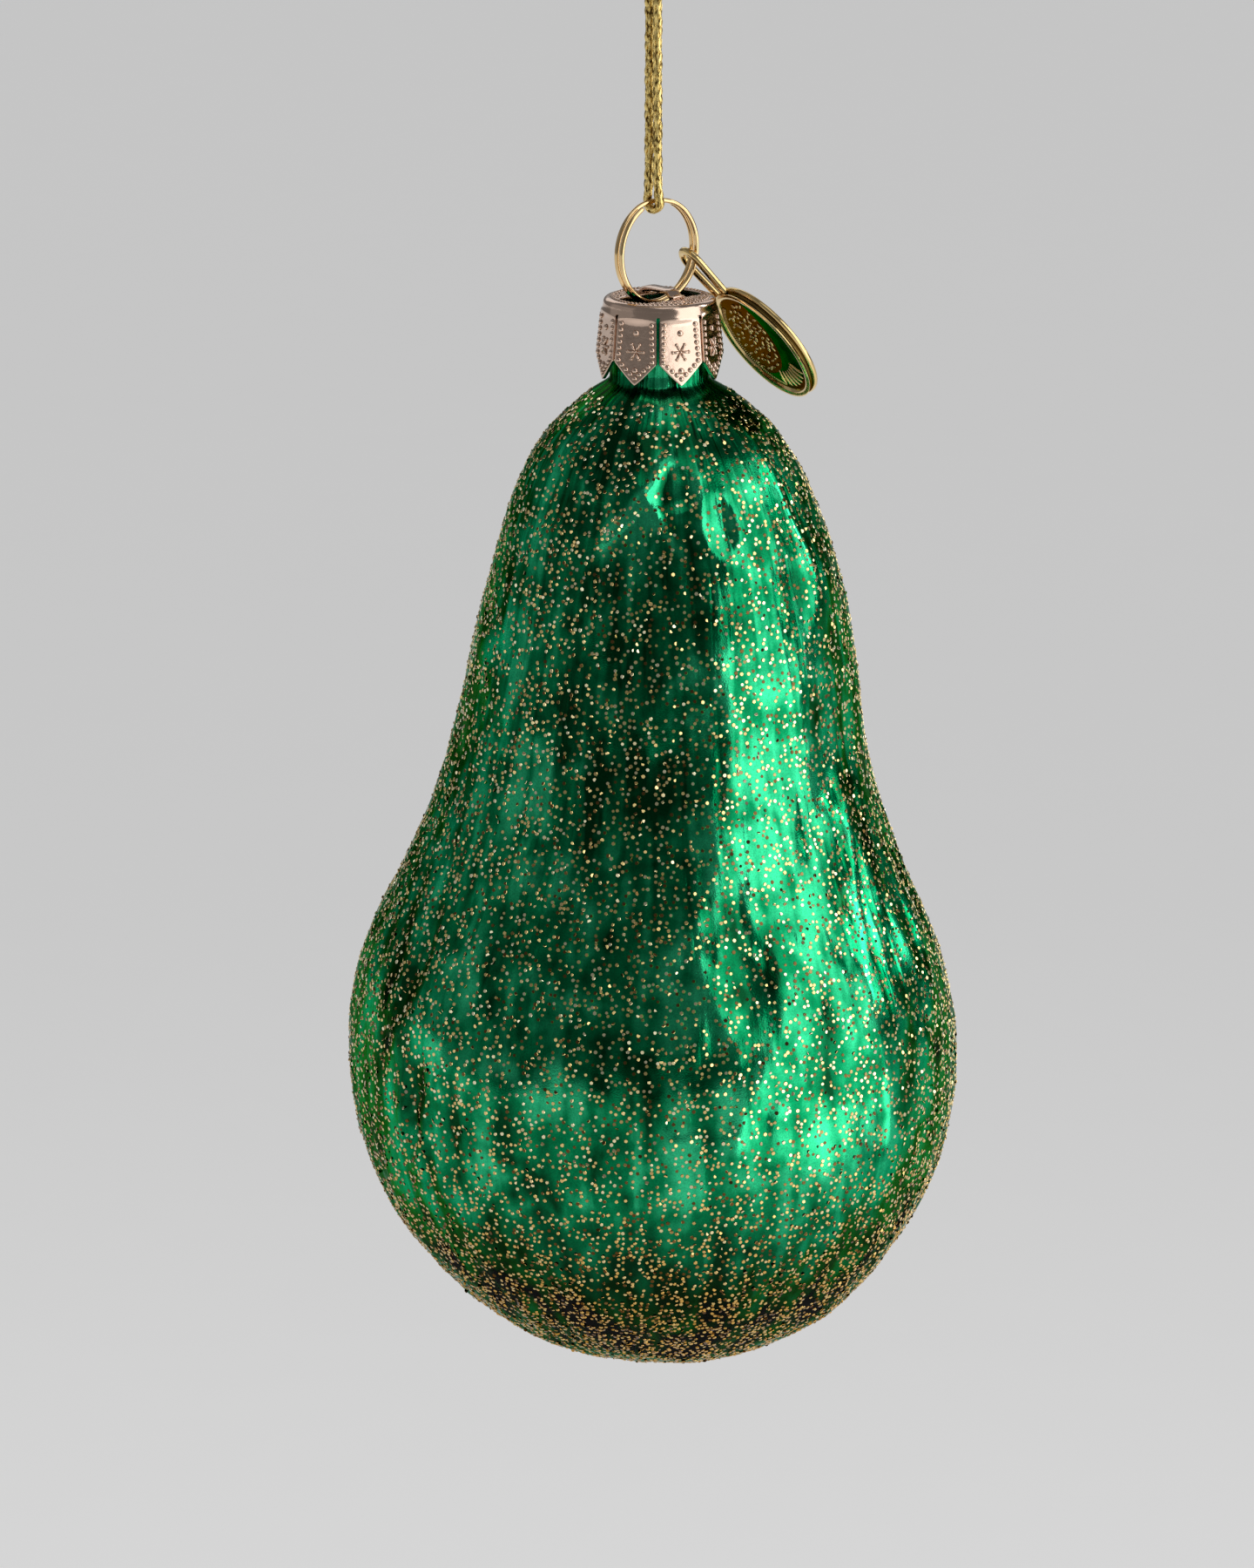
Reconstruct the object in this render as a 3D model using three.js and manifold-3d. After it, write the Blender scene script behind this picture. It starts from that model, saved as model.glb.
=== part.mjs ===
// Hanging glass ornament in the shape of an avocado, with its crown cap, split ring, round tag and cord.
// Millimetres, +Z up. The origin is the point that it hangs from, on top of the knot in the cord.
// +X lies in the plane of the split ring, so the ring's own axis runs along Y.
import * as THREE from "three";
import { mergeVertices } from "three/addons/utils/BufferGeometryUtils.js";
import Module from "manifold-3d";

const wasm = await Module();
wasm.setup();
const radians = THREE.MathUtils.degToRad;

// Air between two pieces that seat on each other
const seatGap = 0.3;

// How far a cutter runs past what it cuts, and a joined piece into its neighbour
const cutterPast = 1;
const joinDepth = 0.01;

// Cord and its knot
const cordDiameter = 0.86;
const cordSides = 8;
const cordSteps = 76;
const knotHalfWidth = 1.7;
const knotHalfHeight = 2.1;
const knotSides = 24;
const knotRings = 16;
const tailLength = 3.4;
const tailLean = 32;

// Split ring: two turns of wire that lie side by side
const ringRadius = 5.2;
const ringWire = 0.42;
const turnPitch = 0.84;
const ringWireSides = 8;
const ringSteps = 124;
const crossingHalfAngle = 26;
const ringTopDepth = 26.15;
const ringSideways = 0.5;

// Crown cap, stamped from thin sheet
const capSideways = 0.9;
const capSheet = 0.35;
const capRimRadius = 5.75;
const capTipRadius = 6.4;
const capHeight = 8.1;
const capEdgeRound = 0.55;
const capSides = 64;
const capRoundSteps = 4;
const petalCount = 8;
const slotWidth = 0.4;
const slotTop = 1.15;
const petalShoulder = 5.9;
const bridgeWidth = 1.5;
const bridgeSheet = 0.35;
const bridgeSlope = 0.7;
const bridgeFoot = 0.6;
const wireSinksBelowPlate = 0.55;
const swingLimit = 50;

// Blown glass body. Depths are below the cap's plate.
const glassWall = 1.0;
const neckFootDepth = 8.3;
const footFlare = 0.5;
const bulbRadius = 31.45;
const bulbDepth = 80.1;
const poleDepth = 112.6;
const bodyStations = [
  [31.0, 74], [29.4, 67.5], [24.7, 57], [21.4, 47], [19.6, 37],
  [17.8, 28], [15.3, 20], [12.2, 14.5], [8.2, 10.6],
];
const swayWidth = 0.8;
const swayMiddleDepth = 46;
const swayTurn = 112;
const swayFadeDepth = 30;
const glassSides = 44;
const bottomSteps = 10;
const shoulderSteps = 22;
const neckSteps = 2;

// Spring clip that holds the cap on the neck
const springWire = 0.6;
const springSides = 8;
const springSteps = 64;
const springDipHalf = 0.8;
const springDipSlack = 0.1;
const springShoulderReach = 2.5;
const springFlareReach = 0.35;
const springFlareDrop = 1.1;
const springFootDepth = 12.7;
const springFootReach = 7.7;

// Round tag with a teardrop eye
const tagRadius = 6.9;
const tagRimWidth = 0.7;
const tagRimSlope = 0.3;
const tagRimThickness = 1.3;
const tagEdgeBevel = 0.25;
const tagSides = 64;
const tagFieldThickness = 0.7;
const tagFieldLift = 0.12;
const eyeDistance = 11.1;
const eyeHalfWidth = 1.8;
const eyeWall = 0.68;
const eyeThickness = 0.8;
const eyeFootDepth = 0.84;
const eyeFootHalfWidth = 1.5;
const eyeRoomPastWire = 1.02;
const eyeHoleLength = 3.2;
const eyeHoleFootHalfWidth = 0.55;
const eyeArcSteps = 16;
const enamelInset = 0.7;
const enamelDepth = 0.3;
const enamelGap = 0.1;
const enamelShift = 3.2;
const enamelAngle = 225;
const enamelArcSteps = 20;

// Where the tag hangs on the ring, in degrees below the ring's widest point, and how it leans on the cap
const tagHookAngle = 18.7;
const tagUpperNormal = new THREE.Vector3(0.808, -0.157, 0.567).normalize();
const tagCentreFromRing = new THREE.Vector3(9.04, -5.92, -9.87);

// Heights that follow from the sizes above
const ringCentreZ = -ringTopDepth - ringRadius;
const ringBottomZ = ringCentreZ - ringRadius;
const plateZ = ringBottomZ + wireSinksBelowPlate;
const neckTopDepth = capSheet + seatGap;
const neckRadius = capRimRadius - capSheet - seatGap;

// The ring's two turns as one band, and how wide the cap's openings are so that the band can swing in them
const bandThickness = turnPitch + ringWire;
const bandHeight = (wireSinksBelowPlate + bandThickness / 2) / Math.cos(radians(swingLimit));
const bandReach = Math.sqrt(bandHeight * (2 * ringRadius - bandHeight));
const capHoleReach = bandReach + Math.abs(capSideways - ringSideways) + seatGap / 2;
const capHoleHalfWidth =
  wireSinksBelowPlate * Math.tan(radians(swingLimit)) +
  bandThickness / 2 / Math.cos(radians(swingLimit)) +
  2 * seatGap;

// A closed geometry as a solid that can be cut and joined
function solid(geometry) {
  const bare = geometry.index ? geometry.toNonIndexed() : geometry.clone();
  bare.deleteAttribute("normal");
  bare.deleteAttribute("uv");
  const merged = mergeVertices(bare, 1e-4);
  return new wasm.Manifold(
    new wasm.Mesh({
      numProp: 3,
      vertProperties: merged.attributes.position.array,
      triVerts: new Uint32Array(merged.index.array),
    }),
  );
}

// A solid back as a geometry
function geometryOf(body) {
  const mesh = body.getMesh();
  const geometry = new THREE.BufferGeometry();
  geometry.setAttribute("position", new THREE.BufferAttribute(new Float32Array(mesh.vertProperties), 3));
  geometry.setIndex(new THREE.BufferAttribute(new Uint32Array(mesh.triVerts), 1));
  geometry.computeVertexNormals();
  return geometry;
}

// A round section with flat sides, for wire and cord
function roundSection(diameter, sides) {
  const points = [];
  for (let i = 0; i < sides; i++) {
    const turn = (2 * Math.PI * (i + 0.5)) / sides;
    points.push(new THREE.Vector2(Math.cos(turn), Math.sin(turn)).multiplyScalar(diameter / 2));
  }
  return new THREE.Shape(points);
}

// Wire or cord along a curve
function tube(curve, diameter, sides, steps) {
  return new THREE.ExtrudeGeometry(roundSection(diameter, sides), { steps, extrudePath: curve });
}

// A profile of radius and height turned round the Z axis
function turned(profile, sides) {
  return new THREE.LatheGeometry(profile, sides).rotateX(Math.PI / 2);
}

function finish(name, color, roughness, metalness, geometry) {
  const material = new THREE.MeshStandardMaterial({ name, color, roughness, metalness });
  const mesh = new THREE.Mesh(geometry, material);
  mesh.name = name;
  return mesh;
}

// Cord: one strand from the knot, down, round under the top of the ring, and up again.
// Each point is how far it stands from the middle along Y, and its height.
const cordRoute = [
  [0.7, -4.45], [0.7, -6.2], [0.71, -8.2], [0.72, -10.2], [0.74, -12.2], [0.76, -14.2],
  [0.78, -16.2], [0.8, -18.2], [0.82, -20.2], [0.84, -22.2], [0.87, -24], [0.9, -25.4],
  [0.9, -26.15], [0.83, -26.52], [0.63, -26.8], [0.34, -26.97], [0, -27.03],
];

function cordPoints() {
  const down = cordRoute.map(([y, z]) => new THREE.Vector3(0, -y, z));
  const up = cordRoute.slice(0, -1).reverse().map(([y, z]) => new THREE.Vector3(0, y, z));
  return [...down, ...up];
}

function hangingCord() {
  const curve = new THREE.CatmullRomCurve3(cordPoints());
  return tube(curve, cordDiameter, cordSides, cordSteps);
}

// Knot: a rounded lump with its two cut tails
function cordKnot() {
  const lump = new THREE.SphereGeometry(1, knotSides, knotRings);
  lump.rotateX(Math.PI / 2).scale(knotHalfWidth, knotHalfWidth, knotHalfHeight);
  let body = solid(lump);
  for (const side of [-1, 1]) {
    const tail = new THREE.CylinderGeometry(cordDiameter / 2, cordDiameter / 2, tailLength, cordSides);
    tail.translate(0, tailLength / 2, 0).rotateZ(side * radians(tailLean)).rotateX(Math.PI / 2);
    body = body.add(solid(tail));
  }
  return geometryOf(body).translate(0, 0, -knotHalfHeight);
}

// Two turns in two planes, with one short crossing at the top, where the cord hides it
class SplitRingCurve extends THREE.Curve {
  getPoint(t, target = new THREE.Vector3()) {
    const start = 90 + crossingHalfAngle;
    const sweep = 720 - 2 * crossingHalfAngle;
    const angle = start + sweep * t;
    const crossing = (angle - (450 - crossingHalfAngle)) / (2 * crossingHalfAngle);
    const across = THREE.MathUtils.smoothstep(crossing, 0, 1) - 0.5;
    const turn = radians(angle);
    return target.set(ringRadius * Math.cos(turn), turnPitch * across, ringRadius * Math.sin(turn));
  }
}

// Crown cap: plate, rounded edge and flared skirt in one sheet
function capShell() {
  const roundX = capRimRadius - capEdgeRound;
  const round = (radius, from, to) => {
    const clockwise = from > to;
    const arc = new THREE.EllipseCurve(
      roundX, -capEdgeRound, radius, radius, radians(from), radians(to), clockwise,
    );
    return arc.getPoints(capRoundSteps);
  };
  const profile = [
    new THREE.Vector2(0, -capSheet),
    ...round(capEdgeRound - capSheet, 90, 0),
    new THREE.Vector2(capTipRadius - capSheet, -capHeight),
    new THREE.Vector2(capTipRadius, -capHeight),
    ...round(capEdgeRound, 0, 90),
    new THREE.Vector2(0, 0),
  ];
  return solid(turned(profile, capSides));
}

// What is cut out between two petals: a narrow slot that opens to a notch, so each petal ends in a point
function petalCutter() {
  const half = slotWidth / 2;
  const tip = capTipRadius * Math.sin(Math.PI / petalCount);
  const below = capHeight + cutterPast;
  const outline = new THREE.Shape([
    new THREE.Vector2(-half, -slotTop),
    new THREE.Vector2(-half, -petalShoulder),
    new THREE.Vector2(-tip, -capHeight),
    new THREE.Vector2(-tip, -below),
    new THREE.Vector2(tip, -below),
    new THREE.Vector2(tip, -capHeight),
    new THREE.Vector2(half, -petalShoulder),
    new THREE.Vector2(half, -slotTop),
  ]);
  const cutter = new THREE.ExtrudeGeometry(outline, { depth: capTipRadius, bevelEnabled: false });
  return cutter.rotateX(Math.PI / 2).rotateZ(Math.PI).translate(0, capRimRadius / 2, 0);
}

// The two openings beside the bridge, where the ring goes in and out
function capOpening(side) {
  const corner = capHoleHalfWidth / 2;
  const inner = bridgeWidth / 2;
  const outline = new THREE.Shape();
  const end = capHoleReach - corner;
  outline.moveTo(inner, -capHoleHalfWidth);
  outline.lineTo(end, -capHoleHalfWidth);
  outline.absarc(end, -corner, corner, -Math.PI / 2, 0);
  outline.absarc(end, corner, corner, 0, Math.PI / 2);
  outline.lineTo(inner, capHoleHalfWidth);
  outline.closePath();
  const cutter = new THREE.ExtrudeGeometry(outline, {
    depth: 2 * cutterPast,
    bevelEnabled: false,
    curveSegments: 2 * capRoundSteps,
  });
  cutter.translate(0, 0, -cutterPast);
  return solid(side > 0 ? cutter : cutter.rotateZ(Math.PI));
}

// The bridge over the ring, raised so that both turns of wire can roll under it
function capBridge() {
  const under = -wireSinksBelowPlate + (turnPitch + ringWire + seatGap) / 2;
  const foot = capHoleHalfWidth + bridgeFoot;
  const hip = capHoleHalfWidth - bridgeSlope;
  const half = [
    [hip, under],
    [capHoleHalfWidth, -capSheet],
    [foot, -capSheet],
    [foot, 0],
    [capHoleHalfWidth, 0],
    [hip, under + bridgeSheet],
  ];
  const right = half.map(([across, up]) => new THREE.Vector2(across, up));
  const left = half.slice().reverse().map(([across, up]) => new THREE.Vector2(-across, up));
  const outline = new THREE.Shape([...right, ...left]);
  const strap = new THREE.ExtrudeGeometry(outline, { depth: bridgeWidth, bevelEnabled: false });
  return solid(strap.translate(0, 0, -bridgeWidth / 2).rotateX(Math.PI / 2).rotateZ(Math.PI / 2));
}

function crownCap() {
  let body = capShell();
  const cutter = petalCutter();
  for (let i = 0; i < petalCount; i++) {
    body = body.subtract(solid(cutter.clone().rotateZ((2 * Math.PI * i) / petalCount)));
  }
  const middleWidth = bridgeWidth + 2 * joinDepth;
  const middle = new THREE.BoxGeometry(middleWidth, 2 * capHoleHalfWidth, 2 * cutterPast);
  body = body.subtract(capOpening(1)).subtract(capOpening(-1)).subtract(solid(middle));
  return geometryOf(body.add(capBridge()));
}

// The glass body's outer line, from its lowest point up to the neck
function glassLine() {
  const shoulder = new THREE.SplineCurve([
    new THREE.Vector2(bulbRadius, -bulbDepth),
    ...bodyStations.map(([radius, depth]) => new THREE.Vector2(radius, -depth)),
    new THREE.Vector2(neckRadius + footFlare, -neckFootDepth - footFlare),
    new THREE.Vector2(neckRadius, -neckFootDepth),
  ]);
  const drop = poleDepth - bulbDepth;
  const bottom = new THREE.EllipseCurve(0, -bulbDepth, bulbRadius, drop, -Math.PI / 2, 0);
  const neck = new THREE.LineCurve(
    new THREE.Vector2(neckRadius, -neckFootDepth),
    new THREE.Vector2(neckRadius, -neckTopDepth),
  );
  return [bottom, shoulder, neck];
}

// Points on the line, and the same points moved inwards by the wall
function glassProfile() {
  const outer = [];
  const inner = [];
  const steps = [bottomSteps, shoulderSteps, neckSteps];
  glassLine().forEach((curve, part) => {
    const first = part === 0 ? 0 : 1;
    for (let i = first; i <= steps[part]; i++) {
      const t = i / steps[part];
      const point = curve.getPoint(t);
      const along = curve.getTangent(t);
      outer.push(point);
      inner.push(new THREE.Vector2(point.x - glassWall * along.y, point.y + glassWall * along.x));
    }
  });
  outer[0].x = 0;
  inner[0].x = 0;
  inner[inner.length - 1].y = outer[outer.length - 1].y;
  const coarse = inner.filter((point, i) => i % 2 === 0 || point.x < 2 * neckRadius);
  return [...outer, ...coarse.reverse()];
}

// The blown body sways a little from side to side on its way down
function glassBody() {
  const geometry = turned(glassProfile(), glassSides);
  const position = geometry.attributes.position;
  const side = new THREE.Vector2(1, -1).normalize();
  for (let i = 0; i < position.count; i++) {
    const depth = -position.getZ(i);
    const fade = THREE.MathUtils.smoothstep(depth, neckFootDepth, swayFadeDepth);
    const sway = -swayWidth * fade * Math.sin((2 * Math.PI * (depth - swayMiddleDepth)) / swayTurn);
    position.setX(i, position.getX(i) + sway * side.x);
    position.setY(i, position.getY(i) + sway * side.y);
  }
  return geometry;
}

// Spring clip: its two shoulders bear under the cap's plate and its feet spread below the neck
function neckSpring() {
  const shoulderDepth = capSheet + seatGap + springWire / 2;
  const dipDepth = plateZ - ringBottomZ + (ringWire + springWire) / 2 + seatGap + springDipSlack;
  const legReach = neckRadius - glassWall - seatGap - springWire / 2;
  const half = [
    [0, dipDepth],
    [springDipHalf, dipDepth],
    [(springDipHalf + springShoulderReach) / 2, (dipDepth + shoulderDepth) / 2],
    [springShoulderReach, shoulderDepth],
    [legReach - springWire / 4, shoulderDepth + springWire],
    [legReach, shoulderDepth + 3 * springWire],
    [legReach, neckFootDepth - springWire],
    [legReach + springFlareReach, neckFootDepth + springFlareDrop],
    [(legReach + springFootReach) / 2, (neckFootDepth + springFootDepth) / 2 + springWire],
    [springFootReach, springFootDepth],
  ];
  const right = half.map(([reach, depth]) => new THREE.Vector3(0, reach, -depth));
  const left = half.slice(1).reverse().map(([reach, depth]) => new THREE.Vector3(0, -reach, -depth));
  const curve = new THREE.CatmullRomCurve3([...left, ...right], false, "centripetal");
  return tube(curve, springWire, springSides, springSteps);
}

// Tag: a medallion with a raised rim, lying in its own XY plane, with the eye towards +Y.
// Its patterned face looks along -Z.
function tagDisc() {
  const rim = tagRimThickness / 2;
  const field = tagFieldThickness / 2;
  const inner = tagRadius - tagRimWidth;
  const profile = [
    new THREE.Vector2(0, tagFieldLift - field),
    new THREE.Vector2(inner - tagRimSlope, tagFieldLift - field),
    new THREE.Vector2(inner, -rim),
    new THREE.Vector2(tagRadius - tagEdgeBevel, -rim),
    new THREE.Vector2(tagRadius, -rim + tagEdgeBevel),
    new THREE.Vector2(tagRadius, rim - tagEdgeBevel),
    new THREE.Vector2(tagRadius - tagEdgeBevel, rim),
    new THREE.Vector2(inner, rim),
    new THREE.Vector2(inner - tagRimSlope, tagFieldLift + field),
    new THREE.Vector2(0, tagFieldLift + field),
  ];
  return solid(turned(profile, tagSides));
}

// The eye: a flat teardrop with a teardrop hole, joined to the disc's edge
function teardrop(halfWidth, bottom, bottomHalfWidth, top) {
  const shape = new THREE.Shape();
  const middle = top - halfWidth;
  shape.moveTo(-bottomHalfWidth, bottom);
  shape.lineTo(bottomHalfWidth, bottom);
  shape.lineTo(halfWidth, middle);
  shape.absarc(0, middle, halfWidth, 0, Math.PI);
  shape.closePath();
  return shape;
}

function tagEye() {
  const holeTop = eyeDistance + eyeRoomPastWire;
  const outer = teardrop(eyeHalfWidth, tagRadius - eyeFootDepth, eyeFootHalfWidth, holeTop + eyeWall);
  const hole = teardrop(eyeHalfWidth - eyeWall, holeTop - eyeHoleLength, eyeHoleFootHalfWidth, holeTop);
  outer.holes.push(hole);
  const plate = new THREE.ExtrudeGeometry(outer, {
    depth: eyeThickness,
    bevelEnabled: false,
    curveSegments: eyeArcSteps,
  });
  return solid(plate.translate(0, 0, -eyeThickness / 2));
}

// The enamel's crescent, grown by a given amount, standing up from the bottom of its recess
function crescent(grow, thickness) {
  const radius = tagRadius - tagRimWidth - enamelInset + grow;
  const outline = new THREE.Shape();
  const inner = radius - 2 * grow;
  const halfAngle = Math.acos((radius ** 2 + enamelShift ** 2 - inner ** 2) / (2 * radius * enamelShift));
  const outerAngle = Math.PI - halfAngle;
  const innerAngle = Math.atan2(radius * Math.sin(outerAngle), radius * Math.cos(outerAngle) + enamelShift);
  outline.absarc(0, 0, radius, -outerAngle, outerAngle);
  outline.absarc(-enamelShift, 0, inner, innerAngle, -innerAngle, true);
  outline.closePath();
  const plate = new THREE.ExtrudeGeometry(outline, {
    depth: thickness,
    bevelEnabled: false,
    curveSegments: enamelArcSteps,
  });
  return plate.rotateZ(radians(enamelAngle));
}

function tagPlate() {
  const face = tagFieldLift - tagFieldThickness / 2;
  const recess = solid(crescent(enamelGap, enamelDepth + cutterPast).translate(0, 0, face - cutterPast));
  return geometryOf(tagDisc().add(tagEye()).subtract(recess));
}

function tagEnamel() {
  const face = tagFieldLift - tagFieldThickness / 2;
  return crescent(0, enamelDepth - enamelGap).translate(0, 0, face);
}

// The tag's own frame on the ring: its eye on the ring's side, its face turned down onto the cap
function placeTag(group) {
  const turn = radians(-tagHookAngle);
  const hook = new THREE.Vector3(Math.cos(turn), 0, Math.sin(turn)).multiplyScalar(ringRadius);
  const up = tagUpperNormal;
  const slope = tagCentreFromRing.clone().sub(hook);
  slope.addScaledVector(up, -slope.dot(up)).normalize();
  const towardsHook = slope.clone().negate();
  const across = new THREE.Vector3().crossVectors(towardsHook, up);
  group.quaternion.setFromRotationMatrix(new THREE.Matrix4().makeBasis(across, towardsHook, up));
  group.position.copy(hook).addScaledVector(slope, eyeDistance);
}

const ornament = new THREE.Group();
ornament.position.set(capSideways, 0, plateZ);
ornament.add(
  finish("glass_body", 0x0b7a4b, 0.22, 0.6, glassBody()),
  finish("crown_cap", 0xd9b8a2, 0.25, 1, crownCap()),
  finish("neck_spring", 0xb9b6ae, 0.3, 1, neckSpring()),
);

const tag = new THREE.Group();
placeTag(tag);
tag.add(
  finish("tag_plate", 0xc9a24c, 0.22, 1, tagPlate()),
  finish("tag_enamel", 0x0a4a24, 0.15, 0, tagEnamel()),
);

const ring = new THREE.Group();
ring.position.set(ringSideways, 0, ringCentreZ);
ring.add(
  finish("split_ring", 0xd8ae62, 0.2, 1, tube(new SplitRingCurve(), ringWire, ringWireSides, ringSteps)),
  tag,
);

const group = new THREE.Group();
group.add(
  finish("hanging_cord", 0xb89b3c, 0.4, 0.7, hangingCord()),
  finish("cord_knot", 0xb89b3c, 0.4, 0.7, cordKnot()),
  ring,
  ornament,
);

export default group;
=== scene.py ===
"""A hanging glass ornament in the shape of an avocado, with its cap, split ring, tag and cord.

The frame gives the places and the main sizes. All lengths are metres, and depths run down from the
cap's plate.
"""

import math

import bmesh
import bpy
import numpy as np
from bpy.props import FloatProperty, FloatVectorProperty, IntProperty, PointerProperty
from mathutils import Matrix, Vector, noise


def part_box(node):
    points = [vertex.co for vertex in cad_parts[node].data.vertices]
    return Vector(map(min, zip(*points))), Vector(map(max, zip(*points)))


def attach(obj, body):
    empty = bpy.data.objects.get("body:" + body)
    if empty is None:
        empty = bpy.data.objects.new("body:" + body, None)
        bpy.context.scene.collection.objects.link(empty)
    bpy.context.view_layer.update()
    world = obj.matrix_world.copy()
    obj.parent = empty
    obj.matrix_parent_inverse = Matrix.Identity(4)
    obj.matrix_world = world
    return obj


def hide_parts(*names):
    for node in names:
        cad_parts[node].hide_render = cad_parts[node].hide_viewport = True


bl_info = {
    "name": "Glass avocado ornament",
    "version": (1, 0, 0),
    "blender": (4, 5, 0),
    "location": "3D View > Sidebar > Ornament",
    "description": "Dresses the frame of a hanging glass ornament with its finished pieces",
    "category": "Object",
}

MM = 0.001
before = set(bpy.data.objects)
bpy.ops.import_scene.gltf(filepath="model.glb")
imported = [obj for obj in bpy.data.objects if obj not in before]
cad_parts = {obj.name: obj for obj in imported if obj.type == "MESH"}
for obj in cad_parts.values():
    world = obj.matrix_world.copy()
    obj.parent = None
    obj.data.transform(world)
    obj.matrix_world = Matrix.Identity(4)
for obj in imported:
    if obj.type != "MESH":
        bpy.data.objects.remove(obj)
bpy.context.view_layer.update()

# Places that the frame gives
CAP_LOW, CAP_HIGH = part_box("crown_cap")
RING_LOW, RING_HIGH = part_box("split_ring")
GLASS_LOW, GLASS_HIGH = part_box("glass_body")
KNOT_LOW, KNOT_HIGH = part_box("cord_knot")
CAP_HEIGHT = 8.1 * MM
PLATE_Z = CAP_LOW.z + CAP_HEIGHT
AXIS = Vector(((CAP_LOW.x + CAP_HIGH.x) / 2, 0, 0))
CAP_TOP = AXIS + Vector((0, 0, PLATE_Z))
RING_CENTRE = Vector(((RING_LOW.x + RING_HIGH.x) / 2, 0, (RING_LOW.z + RING_HIGH.z) / 2))
CAMERA_TURN = -133

# Outline of the blown glass: radius and depth in millimetres, from the bulb up to the neck's foot
BULB_RADIUS = 31.45
BULB_DEPTH = 80.1
POLE_DEPTH = (PLATE_Z - GLASS_LOW.z) / MM
NECK_TOP_DEPTH = (PLATE_Z - GLASS_HIGH.z) / MM
NECK_RADIUS = 5.1
NECK_FOOT_DEPTH = 8.3
FOOT_FLARE = 0.5
BODY_STATIONS = [
    (BULB_RADIUS, BULB_DEPTH), (31.0, 74), (29.4, 67.5), (24.7, 57), (21.4, 47), (19.6, 37),
    (17.8, 28), (15.3, 20), (12.2, 14.5), (8.2, 10.6),
    (NECK_RADIUS + FOOT_FLARE, NECK_FOOT_DEPTH + FOOT_FLARE), (NECK_RADIUS, NECK_FOOT_DEPTH),
]
SWAY_WIDTH = 0.8
SWAY_MIDDLE_DEPTH = 46
SWAY_TURN = 112
SWAY_FADE_DEPTH = 30

# Dents pressed into the glass: turn from the photographed side in degrees, depth, half width,
# half height, how deep
DENTS = [
    (-26, 14.5, 2.6, 2.0, 0.35), (-4, 14.0, 3.4, 2.2, 0.30), (-28, 20.0, 1.7, 1.5, 0.45),
    (3, 17.0, 2.2, 1.8, 0.40), (21.3, 20.8, 1.35, 2.1, 0.46), (46, 28.5, 2.2, 3.0, 0.25),
    (20.7, 66.4, 2.4, 5.0, 0.42), (34.5, 73.3, 1.9, 3.2, 0.32), (-55.7, 66.6, 1.3, 3.4, 0.45),
    (-57.5, 70.5, 1.2, 1.8, 0.35), (-50.2, 78.4, 1.2, 5.0, 0.50), (-51.3, 83.0, 1.2, 2.2, 0.40),
    (-32, 61.6, 2.8, 3.0, 0.25), (-39, 70.7, 2.6, 2.8, 0.25), (-12, 34.5, 3.0, 4.5, 0.25),
    (70, 60.0, 1.5, 7.0, 0.30), (128, 30.0, 2.0, 2.6, 0.40), (170, 18.0, 2.4, 2.0, 0.35),
    (205, 64.0, 2.2, 5.0, 0.40), (150, 78.0, 1.8, 3.4, 0.35), (250, 46.0, 2.4, 4.0, 0.35),
    (110, 88.0, 2.0, 4.0, 0.35), (230, 90.0, 2.4, 3.6, 0.35),
]
# Raised creases: turn and depth of one end, turn and depth of the other, height
CREASES = [
    (-7.5, 17.6, -22, 22.4, 0.42), (-7.5, 17.6, 4, 13.8, 0.42), (-7.5, 17.6, 4, 23.0, 0.30),
    (52, 18.0, 58, 27.0, 0.20), (58.6, 50.0, 49.3, 66.0, 0.20), (66, 58.0, 66, 70.0, 0.20),
    (160, 22.0, 176, 27.0, 0.30), (160, 22.0, 150, 16.0, 0.30), (262, 58.0, 256, 74.0, 0.20),
]
# Patches of painted shade, where dented glass shows dark reflections: turn, depth, half width, half height,
# strength
PAINTED_SHADE_PATCHES = [
    (-26, 14.5, 3.6, 3.0, 0.8), (-4, 13.0, 5.0, 3.4, 0.7), (-28, 20.0, 2.2, 2.0, 1.0),
    (4, 17.0, 3.0, 2.4, 0.5), (22, 20.8, 1.2, 2.0, 0.6), (-25, 31.0, 4.0, 6.5, 0.6),
    (-4, 34.0, 4.2, 10.0, 1.0), (-8, 47.0, 6.0, 9.0, 0.7), (45, 28.5, 2.6, 3.6, 0.5),
    (21, 66.4, 3.4, 6.0, 0.8), (35, 73.3, 3.0, 4.6, 0.8), (-56, 67.5, 1.6, 4.4, 0.9),
    (-50, 79.5, 1.8, 6.5, 0.9), (-32, 61.6, 3.6, 4.0, 0.6), (-39, 70.7, 3.6, 3.6, 0.6),
    (-4, 70.0, 4.5, 8.0, 0.6), (0, 96.0, 12.0, 8.0, 0.7), (-30, 97.0, 9.0, 6.0, 0.6),
    (-14, 84.0, 6.0, 5.0, 0.7), (128, 30.0, 4.0, 5.0, 0.7), (205, 64.0, 4.0, 7.0, 0.8),
    (160, 50.0, 5.0, 9.0, 0.7), (250, 46.0, 4.0, 7.0, 0.7), (180, 96.0, 12.0, 7.0, 0.6),
]

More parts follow.
